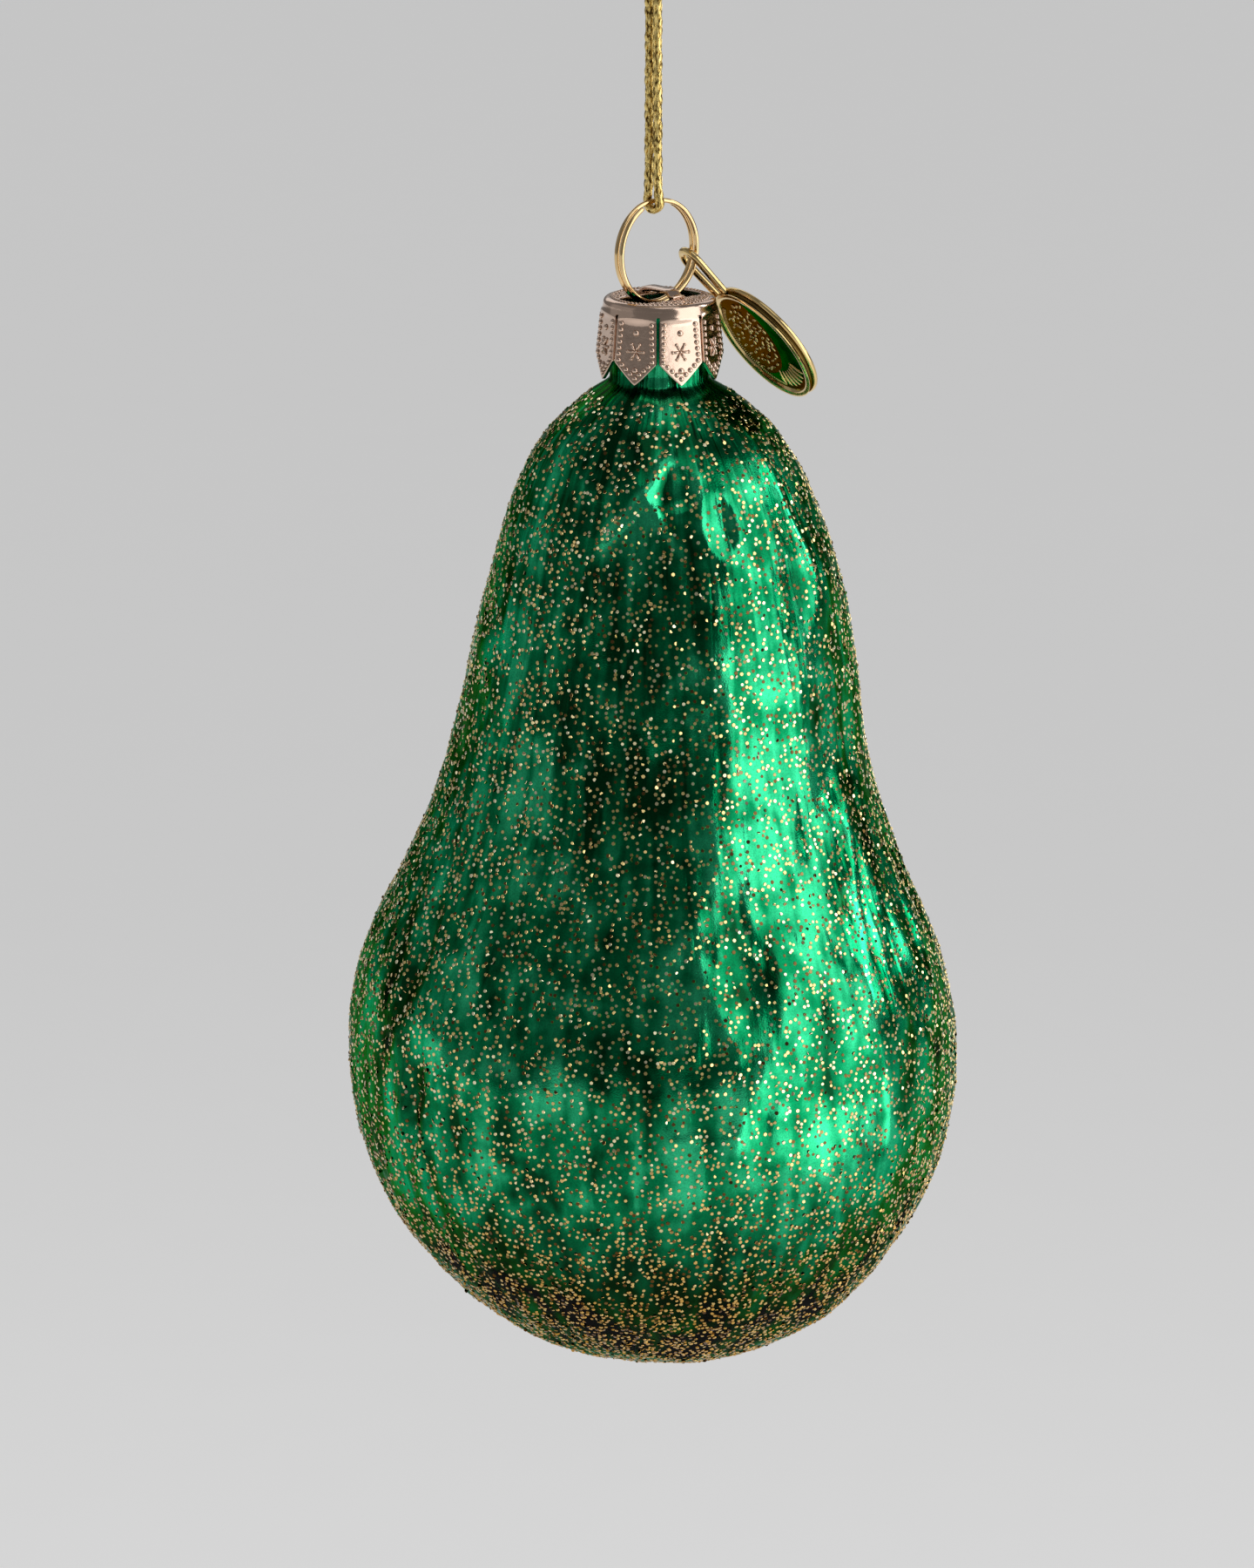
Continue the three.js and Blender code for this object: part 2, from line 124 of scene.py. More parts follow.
# Crown cap
CAP_SHEET = 0.35 * MM
CAP_RIM_RADIUS = 5.75 * MM
CAP_TIP_RADIUS = 6.4 * MM
CAP_EDGE_ROUND = 0.55 * MM
PETALS = 8
PETAL_SECTOR = 360 / PETALS
COLUMNS_PER_PETAL = 24
SLOT_TOP = 1.15 * MM
PETAL_SHOULDER = 5.9 * MM
HOLE_REACH = 4.5 * MM
HOLE_HALF_WIDTH = 2.24 * MM
BRIDGE_WIDTH = 1.5 * MM
BRIDGE_UNDER = 0.23 * MM
BRIDGE_SLOPE = 0.7 * MM
BRIDGE_FOOT = 0.6 * MM
PETAL_FLATNESS = 0.9
PETAL_FLAT_TURN = math.radians(13)
LIP_DEPTH = 1.35 * MM
LIP_WIDTH = 0.28 * MM
LIP_HEIGHT = 0.13 * MM
STAR_DEPTH = 4.7 * MM
PLATE_BEADS = 64
PLATE_BEAD_RADIUS = 4.86 * MM
PLATE_GRAINS = 420

# Split ring
RING_RADIUS = 5.2 * MM
TURN_PITCH = 0.74 * MM
CROSSING_HALF_ANGLE = 26

# Tag: its own frame has the eye towards +Y and the patterned face towards -Z
TAG_SECTION = [
    (0.0, -0.19), (3.0, -0.19), (5.86, -0.19), (6.0, -0.24), (6.08, -0.42), (6.16, -0.56), (6.3, -0.63),
    (6.5, -0.65), (6.68, -0.62), (6.76, -0.54), (6.73, -0.46), (6.6, -0.40), (6.5, -0.28), (6.48, -0.18),
    (6.5, -0.08), (6.6, 0.02), (6.74, 0.08), (6.84, 0.15), (6.9, 0.28), (6.9, 0.42), (6.84, 0.55),
    (6.74, 0.63), (6.6, 0.65),
    (6.3, 0.62), (6.1, 0.52), (5.9, 0.47), (3.0, 0.47), (0.0, 0.47),
]
TAG_EYE_DISTANCE = 11.1 * MM
TAG_HOOK_ANGLE = math.radians(-18.7)
TAG_UPPER_NORMAL = Vector((0.808, -0.157, 0.567)).normalized()
TAG_CENTRE_FROM_RING = Vector((9.04, -5.92, -9.87)) * MM
TAG_FACE = -0.19 * MM
RAYS = 7
RAY_STEP = 10
REEDS = 56
REED_STEP = 2.3
STROKE_TRIES = 900
STROKE_SPACING = 0.62

# Cord: offset from the middle along Y, and height, in millimetres, from the knot down to the ring
CORD_ROUTE = [
    (0.62, -4.45), (0.6, -6.2), (0.59, -8.2), (0.59, -10.2), (0.6, -12.2), (0.61, -14.2),
    (0.62, -16.2), (0.63, -18.2), (0.63, -20.2), (0.64, -22.2), (0.66, -24), (0.76, -25.4),
    (0.9, -26.15), (0.83, -26.52), (0.63, -26.8), (0.34, -26.97), (0, -27.03),
]
KNOT_TURNS = 3.1

# Glitter
GLITTER_TOP_DEPTH = 9.6
DENSER_BELOW_DEPTH = 84
TIPPED_SHARE = 0.45
FLAKES_PER_PIECE = 9000

# Stage
AIM = Vector((-0.00195, 0.00182, -0.08706))
LENS_MM = 150
SENSOR_MM = 36
FLOOR_HALF_WIDTH = 6
FLOOR_GLOW = 0.42


# Sizes and colours that a user would change

def length_setting(name, description, millimetres):
    return FloatProperty(name=name, description=description, default=millimetres * MM, unit="LENGTH")


def angle_setting(name, description, degrees):
    return FloatProperty(name=name, description=description, default=math.radians(degrees), unit="ROTATION")


def number_setting(name, description, number):
    return FloatProperty(name=name, description=description, default=number)


def colour_setting(name, description, levels):
    return FloatVectorProperty(name=name, description=description, subtype="COLOR", default=levels)


class OrnamentGlass(bpy.types.PropertyGroup):
    """Blown glass under lacquer."""

    wall: length_setting("Wall", "Thickness of the glass", 1.0)
    wave: length_setting("Wave", "Height of the soft unevenness of the glass", 0.36)
    streak: length_setting("Streak", "Height of the creases that run down the bulb", 0.21)
    # The three lacquer colours are partly the lacquer's own tone and partly painted reflection: the bright
    # one stands in for reflected light, the dark one for reflected shade
    bright: colour_setting("Bright lacquer", "Colour where the lacquer is thin", (0.04, 0.70, 0.31))
    middle: colour_setting("Lacquer", "Main colour of the lacquer", (0.0, 0.25, 0.085))
    dark: colour_setting("Dark lacquer", "Colour where the lacquer is thick", (0.0, 0.056, 0.015))


class OrnamentGlitter(bpy.types.PropertyGroup):
    """Hexagonal gold flakes on the glass."""

    width: length_setting("Width", "Flake across its corners", 0.43)
    height: length_setting("Height", "How far a flake stands up", 0.05)
    spacing: length_setting("Spacing", "Least distance between two flakes", 0.36)
    per_mm2: number_setting("Density", "Flakes on a square millimetre", 1.9)
    seed: IntProperty(name="Seed", description="Start of the random draws", default=7)
    # The pale and the darkest flake colours are partly painted light: pale stands in for flakes catching
    # the light, the darkest for flakes turned away from it
    pale: colour_setting("Pale gold", "Lightest flakes", (1.0, 0.92, 0.63))
    deep: colour_setting("Deep gold", "Most of the flakes", (0.90, 0.67, 0.28))
    painted_shade_gold: colour_setting("Dim gold", "Flakes that turned away", (0.16, 0.09, 0.03))


class OrnamentCap(bpy.types.PropertyGroup):
    """Stamped crown cap."""

    bead: length_setting("Bead", "Width of a stamped bead", 0.56)
    bead_pitch: length_setting("Pitch", "From bead to bead", 0.62)
    colour: colour_setting("Metal", "Rose gold plating", (0.77, 0.57, 0.45))


class OrnamentRing(bpy.types.PropertyGroup):
    """Split ring of two turns."""

    wire: length_setting("Wire", "Wire diameter", 0.50)
    colour: colour_setting("Metal", "Yellow gold plating", (0.88, 0.63, 0.32))


class OrnamentTag(bpy.types.PropertyGroup):
    """Round tag with a teardrop eye."""

    colour: colour_setting("Metal", "Bright gold plating", (0.86, 0.63, 0.28))
    # Partly darker plating, partly painted shade in the recesses
    shade: colour_setting("Recesses", "Darker plating in the recesses", (0.17, 0.11, 0.03))
    enamel: colour_setting("Enamel", "Dark green enamel", (0.0, 0.055, 0.012))


class OrnamentCord(bpy.types.PropertyGroup):
    """Braided metallic cord."""

    diameter: length_setting("Diameter", "One strand of cord", 1.02)
    threads: IntProperty(name="Threads", description="Threads that wind each way", default=4)
    lay: length_setting("Lay", "Length in which a thread winds once", 7.0)
    colour: colour_setting("Thread", "Gold metallic thread", (0.80, 0.60, 0.20))


class OrnamentStage(bpy.types.PropertyGroup):
    """Floor, light and camera."""

    drop: length_setting("Drop", "Floor below the ornament", 500)
    distance: length_setting("Distance", "Camera to its aim", 675)
    elevation: angle_setting("Elevation", "Camera above the horizon", 15)
    azimuth: angle_setting("Azimuth", "Camera round the ornament", -43)
    key: number_setting("Key", "Radiance of the large softbox", 1.6)
    strip: number_setting("Strip", "Radiance of the narrow softbox", 3.4)
    fill: number_setting("Fill", "Radiance of the side softbox", 0.12)
    sky: number_setting("Sky", "Radiance of the room", 0.17)
    floor: colour_setting("Floor", "Pale floor", (0.80, 0.80, 0.80))


# Small helpers

def smoothstep(low, high, x):
    """0 up to the low end, 1 from the high end on, and smooth between."""
    t = np.clip((x - low) / (high - low), 0, 1)
    return t * t * (3 - 2 * t)


def on_circle(radius, turn, z=0.0):
    """A point at an angle in radians round Z."""
    return Vector((radius * math.cos(turn), radius * math.sin(turn), z))


def linked(name, mesh, material):
    """A new piece that shows a mesh."""
    mesh.materials.append(material)
    piece = bpy.data.objects.new(name, mesh)
    bpy.context.scene.collection.objects.link(piece)
    return piece


def finished(bm, name, material, smooth_angle=None):
    """A new piece from a bmesh, with its place in its mesh."""
    mesh = bpy.data.meshes.new(name)
    bm.to_mesh(mesh)
    bm.free()
    mesh.polygons.foreach_set("use_smooth", [True] * len(mesh.polygons))
    if smooth_angle is not None:
        mesh.set_sharp_from_angle(angle=smooth_angle)
    return linked(name, mesh, material)


def refinish(node, material):
    """Another finish for a piece that the frame brings."""
    for slot in bpy.data.objects[node].material_slots:
        slot.material = material


def smooth_curve(points, steps):
    """Points at even distances on a smooth curve through the given ones."""
    knots = np.array(points, float)
    ends = np.vstack([2 * knots[0] - knots[1], knots, 2 * knots[-1] - knots[-2]])
    dense = []
    for a, b, c, d in zip(ends, ends[1:], ends[2:], ends[3:]):
        for t in np.linspace(0, 1, 24, endpoint=False):
            bend = (c - a) * t + (2 * a - 5 * b + 4 * c - d) * t**2 + (3 * b - a - 3 * c + d) * t**3
            dense.append(b + bend / 2)
    dense.append(knots[-1])
    dense = np.array(dense)
    reach = np.concatenate([[0], np.cumsum(np.linalg.norm(np.diff(dense, axis=0), axis=1))])
    at = np.linspace(0, reach[-1], steps + 1)
    return np.stack([np.interp(at, reach, dense[:, i]) for i in range(dense.shape[1])], axis=1)


def placed(point, forward, outward):
    """A matrix whose Z runs forward and whose Y looks outward."""
    z = Vector(forward).normalized()
    x = Vector(outward).cross(z).normalized()
    turn = Matrix((x, z.cross(x), z)).transposed().to_4x4()
    return Matrix.Translation(Vector(point)) @ turn


def ahead_of(points, k):
    """The direction of a line at one of its points, from the points on both sides."""
    return points[min(k + 1, len(points) - 1)] - points[max(k - 1, 0)]


def along(points, outward):
    """A matrix at each point of a line, whose Z runs on and whose Y keeps to one side without a twist."""
    points = [Vector(point) for point in points]
    side = Vector(outward)
    places = []
    for k, point in enumerate(points):
        places.append(placed(point, ahead_of(points, k), side))
        side = places[-1].col[1].to_3d()
    return places


def sweep(places, sides, width, height):
    """A closed bar with an elliptical section that runs through a list of matrices."""
    bm = bmesh.new()
    section = places[0] @ Matrix.Diagonal((width / 2, height / 2, 1, 1))
    verts = bmesh.ops.create_circle(bm, cap_ends=True, segments=sides, radius=1, matrix=section)["verts"]
    edges = list({edge for vert in verts for edge in vert.link_edges})
    for before, after in zip(places, places[1:]):
        made = bmesh.ops.extrude_edge_only(bm, edges=edges)["geom"]
        verts = [part for part in made if isinstance(part, bmesh.types.BMVert)]
        fresh = set(verts)
        edges = [part for part in made if isinstance(part, bmesh.types.BMEdge) and set(part.verts) <= fresh]
        bmesh.ops.transform(bm, matrix=after @ before.inverted(), verts=verts)
    bmesh.ops.contextual_create(bm, geom=edges)
    bmesh.ops.recalc_face_normals(bm, faces=bm.faces)
    return bm


def turned(profile, steps):
    """A profile of radius and height spun round Z."""
    bm = bmesh.new()
    line = [bm.verts.new((radius, 0, z)) for radius, z in profile]
    for first, second in zip(line, line[1:]):
        bm.edges.new((first, second))
    bmesh.ops.spin(
        bm, geom=bm.verts[:] + bm.edges[:], cent=(0, 0, 0), axis=(0, 0, 1), angle=2 * math.pi,
        steps=steps, use_merge=True,
    )
    bmesh.ops.remove_doubles(bm, verts=bm.verts, dist=1e-7)
    bmesh.ops.recalc_face_normals(bm, faces=bm.faces)
    bm.normal_update()
    return bm


def repeated(proto, name, places, layer, values):
    """A mesh that repeats a small one under each matrix of a list, with a value at each corner."""
    shape = np.array([(*vert.co, 1) for vert in proto.verts])
    faces = [[vert.index for vert in face.verts] for face in proto.faces]
    corners = np.einsum("nij,kj->nki", np.array(places, float), shape)[:, :, :3].reshape(-1, 3)
    mesh = bpy.data.meshes.new(name)
    starts = range(0, len(corners), len(shape))
    mesh.from_pydata(corners, [], [[start + i for i in face] for start in starts for face in faces])
    mesh.attributes.new(layer, "FLOAT", "POINT").data.foreach_set("value", values)
    return mesh


def stud(marks, place, across, along_it, up):
    """Notes the place of a small rounded boss with these half sizes."""
    marks.append(place @ Matrix.Diagonal((across, along_it, up, 1)))


def studs(marks, shade):
    """The rounded bosses whose places were noted, with that much shade round their feet."""
    ball = bmesh.new()
    bmesh.ops.create_icosphere(ball, subdivisions=2, radius=1)
    foot = [shade * min(1.0, max(0.0, 1 - vert.co.z / 0.6)) for vert in ball.verts]
    mesh = repeated(ball, "studs", marks, "foot", foot * len(marks))
    ball.clear()
    ball.from_mesh(mesh)
    bpy.data.meshes.remove(mesh)
    return ball


def joined(parts):
    """Several bmeshes as one."""
    whole = bmesh.new()
    for part in parts:
        mesh = bpy.data.meshes.new("part")
        part.to_mesh(mesh)
        part.free()
        whole.from_mesh(mesh)
        bpy.data.meshes.remove(mesh)
    return whole


def put(tree, kind, inputs=None, **settings):
    """A shader node with its settings, whose inputs are values or other nodes' sockets."""
    made = tree.nodes.new("ShaderNode" + kind)
    for name, value in settings.items():
        setattr(made, name, value)
    for name, value in (inputs or {}).items():
        socket = made.inputs[name]
        if isinstance(value, bpy.types.NodeSocket):
            tree.links.new(value, socket)
        elif socket.type == "RGBA":
            socket.default_value = (*value, 1)
        else:
            socket.default_value = value
    return made


def ramp(tree, factor, stops):
    """A colour ramp. A stop is a position and a colour or a grey level."""
    made = put(tree, "ValToRGB", {"Fac": factor})
    elements = made.color_ramp.elements
    while len(elements) < len(stops):
        elements.new(0.5)
    for element, (position, colour) in zip(elements, stops):
        element.position = position
        level = (colour,) * 3 if isinstance(colour, (int, float)) else tuple(colour)
        element.color = (*level, 1)
    return made.outputs["Color"]


def blend(tree, factor, first, second, kind="MIX"):
    """Two colours mixed. The node's colour inputs are its seventh and eighth."""
    mix = put(tree, "Mix", {0: factor, 6: first, 7: second}, data_type="RGBA", blend_type=kind)
    return mix.outputs[2]


def maths(tree, operation, first, second):
    """A value worked out from two others."""
    return put(tree, "Math", {0: first, 1: second}, operation=operation).outputs["Value"]


def vector_maths(tree, operation, inputs):
    return put(tree, "VectorMath", inputs, operation=operation).outputs["Vector"]


def attribute(tree, name):
    """A value that the mesh holds at its corners."""
    return put(tree, "Attribute", attribute_name=name).outputs["Fac"]


def height_at(tree, coords):
    return put(tree, "SeparateXYZ", {"Vector": coords}).outputs["Z"]


def span(tree, value, low, high, to_low, to_high):
    """A value moved smoothly from one range to another."""
    names = ("Value", "From Min", "From Max", "To Min", "To Max")
    inputs = dict(zip(names, (value, low, high, to_low, to_high)))
    return put(tree, "MapRange", inputs, interpolation_type="SMOOTHSTEP").outputs["Result"]


def new_material(name):
    """A material with an empty tree, and the object's own coordinates."""
    material = bpy.data.materials.new(name)
    material.use_nodes = True
    tree = material.node_tree
    tree.nodes.clear()
    return material, tree, put(tree, "TexCoord").outputs["Object"]


def surface(tree, inputs):
    """The principled shader and the output."""
    shader = put(tree, "BsdfPrincipled", inputs).outputs["BSDF"]
    put(tree, "OutputMaterial", {"Surface": shader})


def noise_at(tree, coords, size, detail=2.0, roughness=0.5, distortion=0.0):
    """Noise whose features are about that size in metres."""
    return put(tree, "TexNoise", {
        "Vector": coords, "Scale": 1 / size, "Detail": detail, "Roughness": roughness,
        "Distortion": distortion,
    }).outputs["Fac"]


def relief(tree, height, distance, strength=1.0, below=None):
    """A bump, on top of another one if that is given."""
    inputs = {"Height": height, "Distance": distance, "Strength": strength}
    if below is not None:
        inputs["Normal"] = below
    return put(tree, "Bump", inputs).outputs["Normal"]


def down_the_body(tree, coords, size, stretch):
    """Coordinates for streaks: features of that size round the body, and longer ones down it."""
    from_axis = vector_maths(tree, "SUBTRACT", {0: coords, 1: tuple(AXIS)})
    split = put(tree, "SeparateXYZ", {"Vector": from_axis}).outputs
    flat = put(tree, "CombineXYZ", {"X": split["X"], "Y": split["Y"]}).outputs["Vector"]
    unit = vector_maths(tree, "NORMALIZE", {0: flat})
    wide = vector_maths(tree, "SCALE", {0: unit, "Scale": BULB_RADIUS * MM / size})
    drop = put(tree, "CombineXYZ", {"Z": maths(tree, "MULTIPLY", split["Z"], 1 / (size * stretch))})
    return vector_maths(tree, "ADD", {0: wide, 1: drop.outputs["Vector"]})


def metal(name, colour, roughness, spread, grain, depth, tint=(1.0, 1.0, 1.0)):
    """A plated metal, a little uneven in shine and tone, and darker at the feet of its bosses, which is
    painted shade.
    """
    material, tree, coords = new_material(name)
    cloud = noise_at(tree, coords, 1.6 * MM, 3.0)
    fine = noise_at(tree, coords, grain, 2.0)
    tone = ramp(tree, cloud, [(0.3, [0.88 * level for level in colour]), (0.7, colour)])
    # Painted shade: the foot layer darkens the colour round the feet of the stamped bosses
    foot = attribute(tree, "foot")
    tone = blend(tree, 1.0, tone, ramp(tree, foot, [(0.4, 1.0), (1.0, 0.22)]), "MULTIPLY")
    surface(tree, {
        "Base Color": tone,
        "Metallic": 1.0,
        "Roughness": span(tree, fine, 0.25, 0.75, roughness - spread, roughness + spread),
        "Specular Tint": tint,
        "Normal": relief(tree, fine, depth),
    })
    return material


# Glass

def outline(depth):
    """Radius of the glass at each depth, both in millimetres."""
    share = (depth - BULB_DEPTH) / (POLE_DEPTH - BULB_DEPTH)
    bulb = BULB_RADIUS * np.sqrt(np.clip(1 - share * share, 0, 1))
    return np.where(depth > BULB_DEPTH, bulb, np.interp(depth, SHOULDER[:, 1], SHOULDER[:, 0]))


def sway(depth):
    """How far the body leans sideways at a depth, in millimetres."""
    fade = smoothstep(NECK_FOOT_DEPTH, SWAY_FADE_DEPTH, depth)
    return -SWAY_WIDTH * fade * np.sin(2 * math.pi * (depth - SWAY_MIDDLE_DEPTH) / SWAY_TURN)


SHOULDER = smooth_curve(BODY_STATIONS, 150)[::-1]


def wall_profile(wall):
    """The glass in section in millimetres: pole, up the outside, over the rim, down the inside."""
    outer = []
    for angle in np.linspace(-math.pi / 2, 0, 66, endpoint=False):
        drop = (POLE_DEPTH - BULB_DEPTH) * math.sin(angle)
        outer.append((BULB_RADIUS * math.cos(angle), drop - BULB_DEPTH))
    outer[0] = (0.0, -POLE_DEPTH)
    outer += [(radius, -depth) for radius, depth in smooth_curve(BODY_STATIONS, 200)]
    outer += [(NECK_RADIUS, -depth) for depth in np.linspace(NECK_FOOT_DEPTH, NECK_TOP_DEPTH, 8)[1:]]
    inner = [(radius - wall, z) for radius, z in outer[::6] if z > wall - POLE_DEPTH and radius > wall]
    inner = [(0.0, wall - POLE_DEPTH), *inner, (NECK_RADIUS - wall, -NECK_TOP_DEPTH)]
    return [*outer, *reversed(inner)]


def patch_distance(turn, depth, girth, patch):
    """How far points lie from the middle of an elliptical patch, whose edge is at 1."""
    away = (turn - patch[0] + 180) % 360 - 180
    return np.hypot(np.radians(away) * girth / patch[2], (depth - patch[1]) / patch[3])


def crease_weight(turn, depth, girth, crease):
    """How much points lie on a crease between two ends, from 0 to 1."""
    away = (turn - crease[0] + 180) % 360 - 180
    across, down = np.radians(away) * girth, depth - crease[1]
    end_across, end_down = math.radians(crease[2] - crease[0]) * girth, crease[3] - crease[1]
    share = np.clip((across * end_across + down * end_down) / (end_across**2 + end_down**2 + 1e-9), 0, 1)
    gap = np.hypot(across - share * end_across, down - share * end_down) / 0.55
    return np.exp(-gap * gap) * np.sin(math.pi * (0.12 + 0.76 * share))


def noises(points, scale, shift):
    """Smooth noise at many points."""
    return np.array([noise.noise(Vector(point)) for point in points * scale + shift])


def glass_relief(turn, depth, girth, points, sizes):
    """How far the blown surface stands out from its plain form, in metres."""
    calm = smoothstep(9.0, 13.0, depth)
    tall = points * (1.0, 1.0, 0.6)
    wave = noises(tall, 0.12, 0.0) + 0.6 * noises(tall, 0.27, 9.0) + 0.12 * noises(tall, 0.6, 4.0)
    around = np.radians(turn) + 0.16 * noises(points, 0.09, 5.0)
    run = np.stack([9 * np.cos(around), 9 * np.sin(around), depth / 15], axis=1)
    streak = 1 - 2 * np.abs(noises(run, 1.0, 0.0)) - 0.7 * np.abs(noises(run, 2.3, 3.0))
    streaky = smoothstep(36.0, 62.0, depth) * smoothstep(4.0, 22.0, girth)
    height = calm * (sizes.wave * wave + sizes.streak * streaky * streak)
    for dent in DENTS:
        away = patch_distance(turn, depth, girth, dent)
        pressed = np.exp(-away**2) - 0.38 * np.exp(-(((away - 1.45) / 0.4) ** 2))
        height -= dent[4] * MM * calm * pressed
    for crease in CREASES:
        height += crease[4] * MM * crease_weight(turn, depth, girth, crease)
    return height


def blown_body(sizes):
    """The blown body: a spun wall, then its sway, waves, dents and creases."""
    bm = turned([(radius * MM, z * MM) for radius, z in wall_profile(sizes.wall / MM)], 240)
    place = np.array([vert.co for vert in bm.verts])
    normal = np.array([vert.normal for vert in bm.verts])
    depth, girth = -place[:, 2] / MM, np.hypot(place[:, 0], place[:, 1]) / MM
    outside = (depth > NECK_FOOT_DEPTH) & (girth > outline(depth) - sizes.wall / MM / 2)
    turn = np.degrees(np.arctan2(place[:, 1], place[:, 0])) - CAMERA_TURN
    here = (turn[outside], depth[outside], girth[outside])
    height = glass_relief(*here, place[outside] / MM, sizes)
    # The thickness layer is painted light: painted shade in the listed patches, and a painted highlight
    # (below zero) along the raised creases
    thickness = np.zeros(len(place))
    patches = sum(patch[4] * np.exp(-patch_distance(*here, patch) ** 2) for patch in PAINTED_SHADE_PATCHES)
    creases = sum(crease_weight(*here, crease) for crease in CREASES)
    thickness[outside] = np.minimum(patches, 1.0) - 1.9 * creases
    place[outside] += normal[outside] * height[:, None]
    place += np.outer(sway(depth), Vector((1, -1, 0)).normalized() * MM) + np.array(CAP_TOP)
    layer = bm.verts.layers.float.new("thickness")
    for vert, point, amount in zip(bm.verts, place, thickness):
        vert.co = point
        vert[layer] = amount
    return bm


def lacquer(sizes):
    """Silvered glass under translucent green lacquer, mottled in patches and streaks: partly lacquer that
    is thinner and thicker, partly painted reflection of light and shade.
    """
    material, tree, coords = new_material("green_lacquer_on_silver")
    cloud = noise_at(tree, coords, 6.5 * MM, 2.0, 0.45, 0.6)
    spot = noise_at(tree, coords, 2.4 * MM, 2.0)
    streaks = noise_at(tree, down_the_body(tree, coords, 2.6 * MM, 5.0), 1.0, 2.0, 0.45, 0.4)
    # Painted light: the thickness layer darkens the colour in the painted shade patches and lightens it in
    # painted highlights along the creases
    thick = attribute(tree, "thickness")
    # Painted reflection mixed with the lacquer's own mottle: cloud, spot and streaks pick between the dark,
    # middle and bright colours
    thin = maths(tree, "MULTIPLY", cloud, 0.38)
    for layer, share in ((spot, 0.20), (streaks, 0.42), (thick, -0.12)):
        thin = maths(tree, "ADD", thin, maths(tree, "MULTIPLY", layer, share))
    colour = ramp(tree, thin, [(0.36, sizes.dark), (0.475, sizes.middle), (0.60, sizes.bright)])
    grain = noise_at(tree, coords, 0.16 * MM, 1.0)
    colour = blend(tree, 1.0, colour, ramp(tree, grain, [(0.30, 0.70), (0.62, 1.0)]), "MULTIPLY")
    # Painted shade: the lacquer's colour darkens towards the bottom of the bulb
    foot = GLASS_LOW.z
    shade = span(tree, height_at(tree, coords), foot + 10 * MM, foot + 33 * MM, 0.16, 1.0)
    colour = blend(tree, 1.0, colour, shade, "MULTIPLY")
    bumps = relief(tree, streaks, 0.14 * MM)
    surface(tree, {
        "Base Color": colour,
        "Metallic": 1.0,
        "Roughness": span(tree, spot, 0.3, 0.7, 0.13, 0.22),
        "Specular Tint": (0.05, 0.34, 0.16),
        "Coat Weight": 0.06,
        "Coat Roughness": 0.07,
        "Normal": relief(tree, grain, 0.015 * MM, 0.7, bumps),
    })
    return material


# Glitter

def flake(sizes):
    """One hexagonal flake with a smaller top."""
    bm = bmesh.new()
    bmesh.ops.create_circle(bm, cap_ends=True, segments=6, radius=sizes.width / 2)
    base = bm.faces[:]
    made = bmesh.ops.extrude_face_region(bm, geom=base, use_keep_orig=True)["geom"]
    top = [part for part in made if isinstance(part, bmesh.types.BMVert)]
    bmesh.ops.scale(bm, vec=(0.85, 0.85, 1), verts=top)
    bmesh.ops.translate(bm, vec=(0, 0, sizes.height), verts=top)
    bmesh.ops.recalc_face_normals(bm, faces=bm.faces)
    return bm


def flake_places(sizes, body):
    """Where the flakes lie on the glass, how they are turned, and a random tone for each, which is partly
    painted light.
    """
    faces = body.data.polygons
    centre, normal, area = np.empty(len(faces) * 3), np.empty(len(faces) * 3), np.empty(len(faces))
    faces.foreach_get("center", centre)
    faces.foreach_get("normal", normal)
    faces.foreach_get("area", area)
    centre, normal = centre.reshape(-1, 3), normal.reshape(-1, 3)
    bulb = np.array(CAP_TOP) - np.array((0, 0, BULB_DEPTH * MM))
    depth = (PLATE_Z - centre[:, 2]) / MM
    outside = (((centre - bulb) * normal).sum(axis=1) > 0) & (depth > GLITTER_TOP_DEPTH)
    low = np.clip((depth - DENSER_BELOW_DEPTH) / 24, 0, 1)
    weight = area * outside * (1 + 0.6 * low)
    draws = np.random.default_rng(sizes.seed)
    tries = int(area[outside].sum() / MM**2 * sizes.per_mm2 * 1.5)
    chosen = draws.choice(len(faces), size=tries, p=weight / weight.sum())
    up = normal[chosen]
    side = np.cross(up, draws.normal(size=(tries, 3)))
    side /= np.linalg.norm(side, axis=1)[:, None]
    other = np.cross(up, side)
    reach = np.sqrt(area[chosen])[:, None]
    points = centre[chosen] + reach * (draws.uniform(-0.8, 0.8, (tries, 1)) * side)
    points += reach * draws.uniform(-0.8, 0.8, (tries, 1)) * other
    free, taken = [], {}
    cells = np.floor(points / sizes.spacing).astype(int)
    for i, (cell, point) in enumerate(zip(map(tuple, cells), points)):
        near = (
            taken.get((cell[0] + a, cell[1] + b, cell[2] + c))
            for a in (-1, 0, 1) for b in (-1, 0, 1) for c in (-1, 0, 1)
        )
        if all(j is None or np.sum((points[j] - point) ** 2) > sizes.spacing**2 for j in near):
            taken[cell] = i
            free.append(i)
    count = len(free)
    lean = np.where(draws.random(count) < TIPPED_SHARE, 0.5, 0.11)[:, None]
    z = up[free] + lean * draws.normal(size=(count, 1)) * side[free]
    z /= np.linalg.norm(z, axis=1)[:, None]
    x = np.cross(other[free], z)
    x /= np.linalg.norm(x, axis=1)[:, None]
    places = np.zeros((count, 4, 4))
    places[:, :3, :3] = np.stack([x, np.cross(z, x), z], axis=2) * draws.uniform(0.82, 1.12, (count, 1, 1))
    places[:, :3, 3] = points[free]
    places[:, 3, 3] = 1
    return places, draws.random(count)


